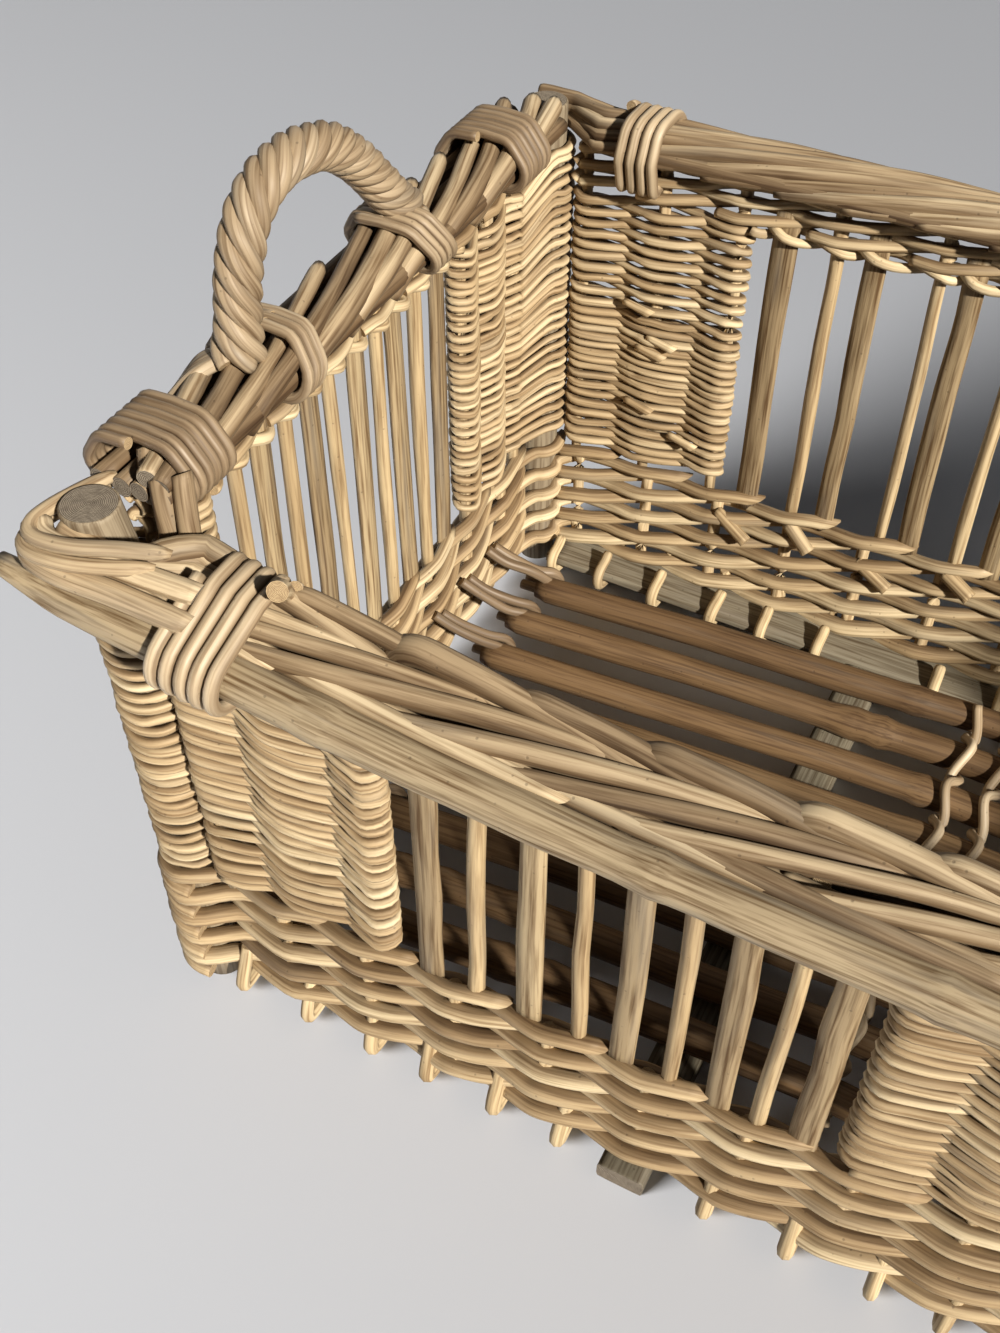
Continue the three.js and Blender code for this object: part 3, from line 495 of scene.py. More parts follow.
def rand_rods(stops, reach, bottom, rise, life, radius, phase=0, along_rim=None, uneven=0.8):
    """A band woven by many rods side by side. One starts inside every stake at the bottom, rises one step at
    every stake that it passes, and ends outside the wall after its life in steps, with a slanted cut."""
    ways = {sign: course(stops, reach, sign) for sign in (1, -1)}
    count = ways[1][1]
    bundles = []
    for j in range(-life, count - 1):
        way = ways[1 if (j + phase) % 2 else -1][0]
        inside = way[(way[:, 2] >= j - 0.35) & (way[:, 2] <= j + life + 0.6)]
        if len(inside) < 4:
            continue
        height = bottom + rise * np.minimum(inside[:, 2] - j, life + 0.25)
        if along_rim is not None:
            height = height + along_rim(inside)
        height = height + willow.uniform(-uneven, uneven, len(inside))
        size = len(inside) * 3
        path = eased(np.column_stack([inside[:, :2], height]), size)
        age = (np.interp(np.arange(size), np.linspace(0, size - 1, len(inside)), inside[:, 2]) - j) / life
        thick = radius * willow.uniform(0.9, 1.08) * (1.08 - 0.2 * age) * (1 + wander((size,), 0.04, 9))
        tone = willow.random()
        tone = tone + np.interp(np.arange(size), np.linspace(0, size, 6), willow.uniform(-0.18, 0.18, 6))
        # Painted shade on the rods' tops and undersides, where they lie against the rows above and below.
        bundles.append(rods(path, thick, tone=tone, sides=10, slant=1.6, crease_shade=(0.0, 0.9)))
    return bundles


def stake_rods(wall, stakes, low, high, radius=5.6):
    """Upright stakes of a wall between two heights, a little crooked."""
    share = np.linspace(0, 1, 12)
    low, high = np.broadcast_to(low, stakes.shape), np.broadcast_to(high, stakes.shape)
    z = low[:, None] + (high - low)[:, None] * share
    along = stakes[:, None] + wander((len(stakes), 12), 0.9)
    thick = radius * willow.uniform(0.92, 1.06, (len(stakes), 1))
    return rods(on_wall(wall, along, WALL_MIDDLE, z), thick, tone=0.55)


def base_bands():
    """Base band. One set of rods starts at the front left post and goes along the front and right walls,
    another starts there and goes along the left and back walls; both pass round the posts."""
    s = BASE_STAKES
    around = {
        "front_and_right": [("post", (-1, -1, 1)), ("front", s["front"]), ("post", (1, -1, 1)),
                            ("right", s["right"]), ("post", (1, 1, 1))],
        "left_and_back": [("post", (-1, -1, -1)), ("left", s["left"]), ("post", (-1, 1, -1)),
                          ("back", s["back"]), ("post", (1, 1, -1))],
    }
    for phase, (name, stops) in enumerate(around.items()):
        bundles = rand_rods(stops, 6.8, 20.0, 12.7, 9, 6.7, phase, uneven=0.5)
        walls = [stop for stop in stops if stop[0] != "post"]
        bundles += [stake_rods(wall, stakes, 20.0, SILL - 10) for wall, stakes in walls]
        nodes = ["base_weave_" + wall for wall, _ in walls]
        piece("base_band_" + name, bundles, [weaver_willow, pale_end], nodes)


base_bands()


def slanted_butts():
    """Thick cut ends of base rods that lean inward and down from the back wall, before some of its stakes."""
    places = np.array([-370, -309, -239, -164, 39, 168, 240, 319.0]) + willow.uniform(-4, 4, 8)
    one_each = (len(places), 1)
    run = np.linspace(0, 1, 10)
    along = places[:, None] + willow.uniform(24, 42, one_each) * run
    depth = WALL_MIDDLE + 5 + 13 * run * willow.uniform(0.6, 1.2, one_each)
    height = willow.uniform(98, 124, one_each) + 6 - willow.uniform(7, 20, one_each) * run
    thick = 6.4 * willow.uniform(0.85, 1.1, one_each)
    sticks = rods(on_wall("back", along, depth, height), thick, tone=willow.uniform(0, 0.6, one_each))
    piece("slanted_butts_back", [sticks], [stick_willow, pale_end], ())


slanted_butts()


def wound_panel(loop, stakes_top, bottom, pitch, sag=None):
    """A panel woven by one rod that goes out and back. The closed loop of knots (x, y, steps) is repeated and
    climbs half a row a step, so a turn ends one row above its start. Rows crowd and part at random."""
    size = len(loop)
    height = float(np.mean(stakes_top(loop[:, :2]))) - bottom
    rounds = int(round(height / pitch))
    uneven = 1 + 0.3 * wander((rounds,), 1.0, max(4, rounds // 3)) + willow.uniform(-0.16, 0.16, rounds)
    rows = np.concatenate([[0], np.cumsum(uneven)])
    rows /= rows[-1]
    level = np.repeat(np.arange(rounds), size) + 0.5 * np.tile(loop[:, 2], rounds)
    share = np.interp(level, np.arange(rounds + 1), rows)
    at = np.tile(loop[:, :2], (rounds, 1)) + willow.uniform(-0.6, 0.6, (rounds * size, 2))
    top = stakes_top(at)
    inner = share * (1 - pitch / height) + 0.5 * pitch / height
    z = bottom + (top - bottom) * inner + willow.uniform(-0.7, 0.7, len(at))
    if sag is not None:
        z = z - sag(at) * 4 * share * (1 - share)
    path = eased(np.column_stack([at, z]), (len(at) - 1) * 3 + 1)
    thick = 0.37 * pitch * np.repeat(willow.uniform(0.85, 1.12, len(path) // 12 + 1), 12)[: len(path)]
    patches = max(4, len(path) // 40)
    tone = np.interp(np.arange(len(path)), np.linspace(0, len(path), patches), willow.random(patches))
    # Painted shade on the weaver's top and underside, where it lies against the rows above and below.
    return rods(path, thick, tone=tone, sides=8, crease_shade=(0.0, 0.9))


def stake_loop(wall, stakes, sign, reach, start_wrap, end_wrap):
    """Loop of a wound panel: out along the stakes, round the last one, back on the other sides, round the
    first. A wrap is the list of plan points it passes."""
    out, back = strokes(stakes, sign), strokes(stakes, -sign)[::-1]
    last = len(stakes) - 1

    def wrap(points, steps):
        points = np.atleast_2d(points)
        return np.column_stack([points, steps + np.arange(1, len(points) + 1) / (len(points) + 1)])

    return np.vstack([
        np.column_stack([weaver_plan(wall, out, reach), out[:, 2]]), wrap(end_wrap, last),
        np.column_stack([weaver_plan(wall, back, reach), back[:, 2] + 1]), wrap(start_wrap, 1),
    ])


def butt_ends(wall, places, heights):
    """Cut ends of weavers that stick out a little from a panel's inner face."""
    run = np.linspace(0, 1, 6)
    along = places[:, None] + 26 * run
    depth = WALL_MIDDLE + 9.0 + 5.0 * run[None] * willow.uniform(0.7, 1.3, (len(places), 1))
    line = on_wall(wall, along, depth, heights[:, None] - 3.0 * run)
    return rods(line, 3.7 * np.linspace(0.8, 1.0, 6), slant=0.8, tone=willow.random((len(places), 1)))


def long_panels():
    """The corner and middle panels of the two long walls."""
    reach = 8.0
    names = ("side_panel_%s_left", "middle_panel_%s", "side_panel_%s_right")
    for wall in LONG_WALLS:
        rim = RIM[wall]
        top = lambda at, rim=rim: rim(at[:, 0]) - HEAD_DROP
        for name, stakes, toward in zip(names, PANEL_STAKES[wall], (1, 0, -1)):
            name = name % wall
            ends = [at_stake(wall, place) for place in (stakes[0] - reach, stakes[-1] + reach)]
            loop = stake_loop(wall, stakes, 1, reach, *ends)
            far, near = stakes[[0, -1]][:: toward or 1]
            sag = lambda at, n=near, f=far: 9.0 * np.clip((at[:, 0] - f) / (n - f), 0, 1)
            woven = wound_panel(loop, top, SILL, 10.0, sag if toward else None)
            stakes_too = stake_rods(wall, stakes, SILL - 12, rim(stakes) - BORDER_DROP, 4.8)
            places = willow.uniform(stakes[0] + 8, stakes[-1] - 30, 5)
            ends_too = butt_ends(wall, places, willow.uniform(SILL + 15, SILL + 180, 5))
            piece("woven_" + name, [woven, stakes_too, ends_too], [weaver_willow, pale_end], [name])


long_panels()


def corner_weaves():
    """Tight weave round each post and the stakes beside it on the end wall."""
    reach = 9.4
    for end, sx in ENDS:
        for side, sy in SIDES:
            stakes = np.array([-228.0, -191.0]) if side == "front" else np.array([137.0, 181.0, 225.0])
            turn = sx * sy
            post = round_post(sx, sy, 21.5, turn * np.array([-80, -52, -24, 4, 32, 60, 88, 118, 150, 185.0]))
            if side == "front":
                loop = stake_loop(end, stakes, -1, reach, post, at_stake(end, stakes[-1] + reach))
            else:
                loop = stake_loop(end, stakes, 1, reach, at_stake(end, stakes[0] - reach), post)
            long_top = float(RIM[side](HALF_LENGTH)) - BORDER_DROP - 2
            end_top = END_RIM - HEAD_DROP

            def top(at, long_top=long_top, end_top=end_top):
                near = np.clip((np.abs(at[:, 1]) - 236) / 14, 0, 1)
                return end_top + (long_top - end_top) * near

            woven = wound_panel(loop, top, SILL, 9.0)
            stakes_too = stake_rods(end, stakes, SILL - 10, END_RIM - BORDER_DROP, 5.8)
            name = "corner_weave_%s_%s" % (side, end)
            piece("woven_" + name, [woven, stakes_too], [weaver_willow, pale_end], [name])


corner_weaves()


def top_weaves():
    """Weave under the border on each wall, rising the same way as the base band."""
    for wall in ("front", "back", "left", "right"):
        rim = RIM[wall]
        long_wall = wall in LONG_WALLS
        if long_wall:
            left, middle, right = PANEL_STAKES[wall]
            stakes = np.concatenate([left, STICKS[wall], middle, -STICKS[wall][::-1], right])
        else:
            stakes = END_STAKES
        stakes_all = np.concatenate([stakes[:1] - 8, stakes, stakes[-1:] + 8])
        above = lambda k, rim=rim, axis=(0 if long_wall else 1): rim(k[:, axis])
        bundles = rand_rods([(wall, stakes_all)], 7.5, -HEAD_DROP + 4.5, 6.8, 4, 4.2, 0, above)
        sticks = stake_rods(wall, stakes, rim(stakes) - HEAD_DROP - 4, rim(stakes) - BORDER_DROP + 6, 5.0)
        bundles.append(sticks)
        piece("woven_top_" + wall, bundles, [weaver_willow, pale_end], ["top_weave_" + wall])


top_weaves()


# Window bars

OUTWARD = {"front": (0, -1, 0), "back": (0, 1, 0), "left": (-1, 0, 0), "right": (1, 0, 0)}


def window(name, wall, laths, sticks, edges):
    """Upright bars of one window, flat laths and round sticks by turns, with two canes twined round their
    heads: each cane swings before and behind the bars half a turn apart from the other."""
    rim = RIM[wall]
    steps = 18
    share = np.linspace(0, 1, steps)

    def bars(at, foot, over, drift):
        low = foot + willow.uniform(-6, 2, (len(at), 1))
        z = low + (rim(at)[:, None] + over - low) * share
        lean = willow.uniform(-drift, drift, (len(at), 1)) * share
        return on_wall(wall, at[:, None] + lean + wander((len(at), steps), 1.0), WALL_MIDDLE, z)

    def flat(angle):
        return 1 + 0.16 * np.abs(np.sin(2 * angle)) ** 1.5

    wide = 9.4 * willow.uniform(0.86, 1.1, (len(laths), 1)) * (1 + wander((len(laths), steps), 0.07))
    thick = 3.4 * (1 + wander((len(laths), steps), 0.1))
    upright = bars(laths, SILL - 10, -46.0, 4.0)
    bundles = [rods(upright, wide, thick, up=OUTWARD[wall], sides=10, lobes=flat, kind=1)]
    round_size = 5.6 * willow.uniform(0.88, 1.12, (len(sticks), 1)) * (1 + wander((len(sticks), steps), 0.09))
    bundles.append(rods(bars(sticks, SILL - 10, -BORDER_DROP, 5.0), round_size, up=(1, 1, 0), sides=10))
    stops = np.sort(np.concatenate([edges, laths, sticks]))
    turns = np.arange(0, (len(stops) - 1) * 8 + 1) / 8.0
    along = np.interp(turns, np.arange(len(stops)), stops)
    for phase in (0, 1):
        swing = np.cos(np.pi * (turns + phase))
        z = rim(along) - HEAD_DROP - 2.5 + 3.6 * np.sin(np.pi * (turns + phase))
        path = on_wall(wall, along, WALL_MIDDLE - 8.0 * swing, z)
        thick = 3.8 + wander((len(turns),), 0.4, 12)
        bundles.append(rods(path, thick, tone=0.7 + wander((len(turns),), 0.25, 12), kind=2))
    finishes = [stick_willow, lath_wood, weaver_willow, pale_end]
    piece(name.replace("bars", "laths_and_sticks"), bundles, finishes, [name])


def windows():
    """The six windows; the right ones mirror the left."""
    for wall in LONG_WALLS:
        left, middle, _ = PANEL_STAKES[wall]
        edges = np.array([left[-1] + 9.0, middle[0] - 9.0])
        window("window_bars_%s_left" % wall, wall, LATHS[wall], STICKS[wall], edges)
        window("window_bars_%s_right" % wall, wall, -LATHS[wall], -STICKS[wall], -edges)
    for wall in END_WALLS:
        window("window_bars_" + wall, wall, END_LATHS, END_STICKS, END_WINDOW)


windows()


# Borders and rail

def tucked(wall, along, depth):
    """Depth of a border's rod, drawn to the outer face where it passes a corner post on a long wall."""
    if wall in END_WALLS:
        return depth
    squeeze = np.clip((np.abs(along) - 500) / 34, 0, 1)
    return depth * (1 - squeeze) + (1.0 + 0.1 * depth) * squeeze


def laid_rods(wall, starts, knots, limits, slant=0.0, one_length=False):
    """Rods laid in a border, one from each start. A knot is (run from the start, depth in the wall, drop
    below the border's top, radius); each rod follows its knots with a little drift and stops at the wall's
    limits."""
    rim = RIM[wall]
    steps = 44
    knots = np.asarray(knots, float)
    stretch = np.ones(len(starts)) if one_length else willow.uniform(0.9, 1.1, len(starts))
    bundles = []
    for start, longer in zip(starts, stretch):
        k = knots.copy()
        k[:, 0] = start + k[:, 0] * np.where(k[:, 0] > 20, longer, 1.0)
        k[:, 1] += willow.uniform(-1.3, 1.3) + wander((len(k),), 0.9, 4)
        k[:, 2] += willow.uniform(-2.4, 2.4) + wander((len(k),), 1.0, 4)
        k[:, 3] *= willow.uniform(0.78, 1.06)
        path = eased(k, 90)
        path = path[(path[:, 0] > limits[0]) & (path[:, 0] < limits[1])]
        if len(path) < 8 or path[-1, 0] - path[0, 0] < 24:
            continue
        along, depth, drop, radius = even(path, steps).T
        thick = radius * (1 + wander((steps,), 0.06, 9)) * slim_ends(steps, 0.86, 0.03)
        tone = willow.uniform(-0.1, 1.1) + wander((steps,), 0.12, 6)
        line = on_wall(wall, along, tucked(wall, along, depth), rim(along) - drop)
        # Painted shade on the rods' inner and outer sides, where they lie against their neighbours in the
        # border.
        bundles.append(rods(line, thick, sides=12, tone=tone, slant=slant, crease_shade=(0.95, 0.0)))
    return bundles


def straight_rods(wall, limits, places, radius):
    """Long straight rods of a border's lower layer, by their depth and drop."""
    steps = 40
    rim, run = RIM[wall], np.linspace(*limits, steps)
    bundles = []
    for depth, drop in places:
        at = tucked(wall, run, depth + wander((steps,), 1.2))
        line = on_wall(wall, run, at, rim(run) - drop + wander((steps,), 1.0))
        thick = radius * (1 + wander((steps,), 0.05))
        # Painted shade: the lower layer lies under the laid rods, so it is darkened by half, and more on its
        # inner and outer sides.
        bundles.append(rods(line, thick, sides=12, shade=0.5, crease_shade=(0.5, 0.0)))
    return bundles


def spaced(first, last, gap, drift):
    """Starts between first and last, a gap apart, each off by up to the drift."""
    starts = np.arange(first, last, gap)
    return starts + willow.uniform(-drift, drift, len(starts))


# Knots (run, depth, drop, radius) of the borders' rods.
ELBOW = [(-9, 33, 46, 7.0), (-11, 38, 27, 7.6), (-8, 41, 12, 8.3), (3, 41, 3.5, 8.4), (22, 40.5, 2.5, 7.8),
         (60, 39, 4, 7.0), (100, 36, 8.5, 6.3), (140, 31, 14, 5.8), (180, 25, 20, 5.2)]
CROSSING = [(0, 1, 19, 5.6), (45, 6, 13, 5.9), (95, 14, 8.5, 6.1), (150, 23, 6.5, 6.0), (200, 30.5, 10, 5.6),
            (222, 34, 17, 5.2)]
OUTER = [(0, 12, 19, 5.6), (60, 7, 16, 6.2), (120, 3, 14, 6.4), (190, 0, 14, 6.2), (235, -1.5, 15, 5.6)]
BACK_ROD = [(0, 39, 23, 3.8), (50, 37, 18, 4.9), (120, 30, 10.5, 6.1), (190, 20, 7, 6.6), (260, 11, 6, 6.4),
            (330, 5, 9.5, 4.8)]
END_ROD = [(-14, 40, 34, 6.4), (-2, 45, 18, 7.3), (30, 44, 9.5, 7.9), (80, 34, 6.8, 8.0), (130, 18, 6.5, 7.8),
           (176, 2, 8.5, 7.5)]


def borders():
    """Borders of the four walls: straight rods below, and above them rods that start inside and move
    outward."""
    long_limits, end_limits = (-567.0, 567.0), (-243.0, 256.0)
    front = straight_rods("front", long_limits, [(10, 22), (24, 22), (37, 22)], 6.2)
    elbows = spaced(-585, 540, 72, 6)
    front += laid_rods("front", elbows, ELBOW, long_limits, one_length=True)
    front += laid_rods("front", elbows - 228, CROSSING, long_limits, slant=0.8, one_length=True)
    front += laid_rods("front", spaced(-780, 400, 124, 18), OUTER, long_limits, slant=2.2)
    knob = np.array([(-446, -252, 418), (-441, -262, 432), (-436, -272, 441.0)])
    thick = 5.6 * (1 + wander((14,), 0.12, 6))
    front.append(rods(even(eased(knob, 30), 14), thick, sides=12, slant=0.3, tone=0.9))
    back = straight_rods("back", long_limits, [(9, 21), (23, 22), (36, 21)], 6.0)
    back += laid_rods("back", spaced(-900, 540, 54, 8), BACK_ROD, long_limits, slant=1.0)
    piece("border_rods_front", front, [border_willow, pale_end], ["border_front"])
    piece("border_rods_back", back, [border_willow, pale_end], ["border_back"])
    for wall in END_WALLS:
        rods_too = straight_rods(wall, end_limits, [(1, 21), (15, 22), (29, 22), (43, 21)], 6.6)
        rods_too += laid_rods(wall, spaced(-375, 225, 57, 6), END_ROD, end_limits, slant=0.5)
        piece("border_rods_" + wall, rods_too, [border_willow, grey_end], ["border_" + wall])


borders()


def corner_rods():
    """Rods of the end borders that curl round the front corners' outside and run on along the front border,
    and short thick ends beside the posts."""
    curls = [
        ([(-566, -238, 446), (-574, -258, 446), (-580, -279, 446), (-580, -294, 446), (-571, -301, 446),
          (-548, -300, 448), (-522, -290, 449), (-497, -279, 447)], 4.7, 0.5),
        ([(-571, -238, 438), (-579, -260, 438), (-584, -282, 438), (-583, -298, 438), (-572, -306, 439),
          (-548, -306, 441), (-523, -297, 441), (-503, -287, 441)], 4.6, 0.5),
        ([(-584, -295, 433), (-574, -303, 432), (-553, -306, 431), (-520, -303, 428),
          (-478, -298, 420)], 7.4, 0.9),
        ([(-580, -286, 443), (-572, -293, 440), (-550, -294, 439), (-515, -291, 436),
          (-478, -286, 432)], 7.0, 0.9),
    ]
    stubs = [
        ([(-527, -246, 400), (-530, -243, 432), (-534, -238, 456)], 6.8, 0.9),
        ([(-512, -248, 400), (-517, -241, 432), (-522, -233, 459)], 6.4, 0.9),
        ([(-545, -232, 430), (-549, -228, 446), (-552, -223, 460)], 7.0, 0.9),
    ]
    for end, sx in ENDS:
        bundles = []
        for index, (knots, radius, bare) in enumerate(curls + stubs):
            path = even(eased(np.array(knots, float), 80), 36) * (-sx, 1, 1)
            tone = willow.uniform(0.5, 1.0) if index < len(curls) else 0.0
            thick = radius * slim_ends(36, bare, 0.08)
            bundles.append(rods(path, thick, up=(0.3, 0.2, 1), sides=10, slant=0.4, tone=tone))
        piece("corner_rods_" + end, bundles, [border_willow, grey_end], ())


corner_rods()


def rail():
    """Peeled pole outside the front border, thicker at its left end, which is cut to a long flat taper."""
    steps = 130
    run = np.linspace(-606, 602, steps)
    depth = RAIL_DEPTH + wander((steps,), 1.3, 10)
    height = rail_height(run) + wander((steps,), 1.3, 10) + np.clip((-560 - run) / 46, 0, 1) * 6
    centre = on_wall("front", run, depth, height)
    thick = np.interp(run, [-606, -570, -530, 0, 602], [7.0, 11.0, 12.6, 11.8, 11.0])
    thick = thick * (1 + wander((steps,), 0.045, 30))
    for knot in (-395.0, -205.0, -62.0, 180.0, 410.0):
        thick = thick + 1.3 * np.exp(-((run - knot) / 9.0) ** 2)
    taper = np.interp(run, [-606, -560, -500], [0.62, 0.8, 1.0])
    body = rods(centre, thick, thick * taper, sides=24, slant=-0.6)
    piece("peeled_rail_front", [body], [rail_wood, grey_end], ["rail_front"])


rail()


# Lashings and handles

# Circles (depth, height under the top, radius) that a border's section fills, for the canes round it.
LONG_CIRCLES = [(9.5, -18.5, 8.5), (36.5, -18.5, 8.5), (16.4, -8.0, 8.5), (32.0, -8.0, 8.5)]
BACK_CIRCLES = LONG_CIRCLES + [(32.0, -38.0, 7.0), (12.0, -34.0, 6.0)]
END_CIRCLES = [(0.5, -18, 9), (44.4, -18, 9), (7.4, -8, 9), (22, -7, 9), (37, -8, 9)]


def wound_cane(wall, circles, start, turns, pitch, radius, step=1, lean=0.0, first=0.25, with_rail=False):
    """A cane wound round a border's circles (depth, height under the top, radius). In each direction it
    touches the circle that reaches furthest, and it moves one pitch along the wall a turn; lean tilts the
    loops."""
    count = 40
    index = np.arange(int(turns * count) + 1)
    angle = 2 * np.pi * (index / count + first)
    along = start + step * pitch * index / count
    c = np.array(circles + ([(RAIL_DEPTH, 0.0, 13.0)] if with_rail else []), float)
    height = RIM[wall](along)[:, None] + c[:, 1]
    if with_rail:
        height[:, -1] = rail_height(along)
    support = c[:, 0] * np.cos(angle)[:, None] + height * np.sin(angle)[:, None] + c[:, 2]
    best = support.argmax(axis=1)
    reach = c[best, 2] + radius
    depth = c[best, 0] + reach * np.cos(angle)
    z = height[np.arange(len(index)), best] + reach * np.sin(angle)
    along = along + lean * (z - RIM[wall](along)) + wander((len(index),), 0.5, 14)
    path = even(on_wall(wall, along, depth, z), len(index))
    axis = (1, 0, 0) if wall in LONG_WALLS else (0, 1, 0)
    # Painted shade on the cane's faces that lie against its neighbouring turns.
    return rods(path, radius, up=axis, sides=12, tone=willow.random() * 0.5 + 0.3, crease_shade=(0.0, 0.8))


def lashings():
    """Four to six turns of cane near each end of every border."""
    for end, sx in ENDS:
        start = -487 if sx < 0 else 479
        front = wound_cane("front", LONG_CIRCLES, start, 4.9, 9.2, 4.4, step=-sx, lean=-0.19 * sx,
                           with_rail=True)
        back = wound_cane("back", BACK_CIRCLES, sx * 482, 4.3, 8.6, 4.3, step=-sx)
        piece("cane_lashing_front_" + end, [front], [cane, pale_end], ["lashing_front_" + end])
        piece("cane_lashing_back_" + end, [back], [cane, pale_end], ["lashing_back_" + end])
        for side, start in (("front", -236.0), ("back", 163.0)):
            turns = wound_cane(end, END_CIRCLES, start, 6.4, 7.0, 3.6)
            name = "end_lashing_%s_%s" % (side, end)
            piece("cane_" + name, [turns], [brown_cane, pale_end], [name])


lashings()


def rope_handle(end):
    """A rope of five thick strands: each goes round the arch's centre line at a steady rate, offset
    r (cos a n + sin a b) from it. At the feet the strands part, lie over the border and are wound round
    it."""
    sx = -1 if end == "left" else 1
    arch = np.array([(157, 462), (162, 485), (167, 507), (174, 526), (186, 543), (203, 553), (227, 556),
                     (250, 552), (272, 543), (299, 521), (319, 499), (340, 475), (352, 461)], float)
    steps = 180
    upright = np.column_stack([np.zeros(len(arch)), arch[:, 0] - HALF_WIDTH, arch[:, 1]])
    line = even(eased(upright, 400), steps)
    along = np.gradient(line, axis=0)
    along /= np.linalg.norm(along, axis=1, keepdims=True)
    b = np.array([1.0, 0, 0])
    n = np.cross(b, along)
    length = np.linspace(0, 1, steps)
    phase = 2 * np.pi * (np.arange(STRANDS)[:, None] / STRANDS - ROPE_TURNS * length[None])
    parting = np.clip((0.08 - length) / 0.08, 0, 1) + np.clip((length - 0.92) / 0.08, 0, 1)
    reach = 9.2 * (1 + 0.35 * parting)
    offset = reach[None, :, None] * (np.cos(phase)[..., None] * n + np.sin(phase)[..., None] * b)
    tone = willow.random((STRANDS, 1)) * 0.6 + 0.25 + wander((STRANDS, steps), 0.12, 12)
    thick = 5.4 * (1 + wander((STRANDS, steps), 0.06, 14))
    # The strands carry a light, even painted shade; the core rod below lies inside them and is all painted
    # shade, so the gaps between the strands look shaded.
    bundles = [rods(line + offset, thick, up=(1, 0, 0), sides=10, tone=tone, shade=0.12)]
    bundles.append(rods(line, 6.5, up=(1, 0, 0), sides=8, shade=1.0))
    fan = []
    for foot, away, count in ((157.0, -1, 5), (352.0, 1, 4)):
        for k in range(count):
            t = k / (count - 1.0)
            out = -21 - 9 * t
            runs = foot - HALF_WIDTH + away * np.array([0, 6 - 3 * t, 22 - 14 * t, 48 - 22 * t, 82 - 40 * t])
            drops = [478, 466, 458 - 2 * t, 449 - 9 * t, 439 - 14 * t]
            fan.append(np.column_stack([[3, -4 - 6 * t, out * 0.8, out, out - 1], runs, drops]))
    tone = willow.random((len(fan), 1)) * 0.6 + 0.25
    bundles.append(rods(eased(fan, 40), 4.7 * slim_ends(40, 0.6, 0.2), sides=10, tone=tone))
    for bundle in bundles:
        bundle["co"] = (bundle["co"] + (HANDLE_DEPTH - HALF_LENGTH, 0, 0)) * (-sx, 1, 1)
        if sx > 0:
            bundle["quads"], bundle["caps"] = bundle["quads"][:, ::-1], bundle["caps"][:, ::-1]
    for foot, direction, count in ((176.0, 1, 3), (349.0, -1, 4)):
        for k in range(count):
            at = foot - HALF_WIDTH + direction * 7.4 * k
            lean = 0.35 * direction
            bundles.append(wound_cane(end, END_CIRCLES, at, 1.05, 6.0, 3.7, step=direction, lean=lean))
    piece("rope_handle_" + end, bundles, [rope_willow, pale_end], ["handle_" + end])


rope_handle("left")
rope_handle("right")


# Floor, posts, boards

def floor_poles():
    """Nine peeled poles side by side, a little askew near the left wall, each with its own bends and
    knots."""
    steps = 90
    for index in range(POLES):
        first = -willow.uniform(503, 514)
        run = np.linspace(first, 538, steps)
        askew = np.interp(run, [-514, -344, -112, 60, 300], [-15, 0, 13, 9, 0])
        across = POLE_PITCH * (index - 4) + askew + wander((steps,), 1.8, 8)
        path = np.stack([run, across, POLE_HEIGHT + wander((steps,), 0.7, 8)], axis=-1)
        thick = POLE_RADIUS * (1 + wander((steps,), 0.06, 12)) * slim_ends(steps, 0.75, 0.012)
        for knot in willow.uniform(-480, 500, 5):
            thick = thick + 1.6 * np.exp(-((run - knot) / 8.0) ** 2)
        name = "floor_pole_%d" % (index + 1)
        pole = rods(path, thick, sides=20, tone=willow.random())
        piece("peeled_" + name, [pole], [pole_wood, grey_end], [name])


floor_poles()


def squared(path, wide, thick):
    """A board or batten with worn arrises: a rod whose section is the superellipse
    |x|^(2/p) + |y|^(2/p) = 1."""
    power = 0.18

    def lobes(angle):
        c, s = np.abs(np.cos(angle)), np.abs(np.sin(angle))
        return 1.0 / (c ** (2 / power) + s ** (2 / power)) ** (power / 2)

    return rods(path, wide, thick, sides=24, lobes=lobes)


def posts():
    """Four corner posts, sawn flat at the top, slightly uneven in thickness along their length and leaning.
    """
    for end, sx in ENDS:
        for side, sy in SIDES:
            steps = 24
            top = 452.5 if side == "front" else 455.0
            z = np.concatenate([np.linspace(0, top - 4, steps - 2), [top - 1, top]])
            share = np.clip((z - 380) / 70, 0, 1)
            lean = (7.0, 6.0) if side == "front" else (0.0, 3.0)
            x, y = post_centre(sx, sy)
            path = np.stack([x + sx * lean[0] * share, y + sy * lean[1] * share, z], axis=-1)
            thick = POST_RADIUS * (1 + wander((steps,), 0.03, 8))
            thick[-1] *= 0.93
            name = "post_%s_%s" % (side, end)
            post = rods(path, thick, up=(1, 0, 0), sides=28)
            piece("sawn_" + name, [post], [post_wood, grey_end], [name])


posts()


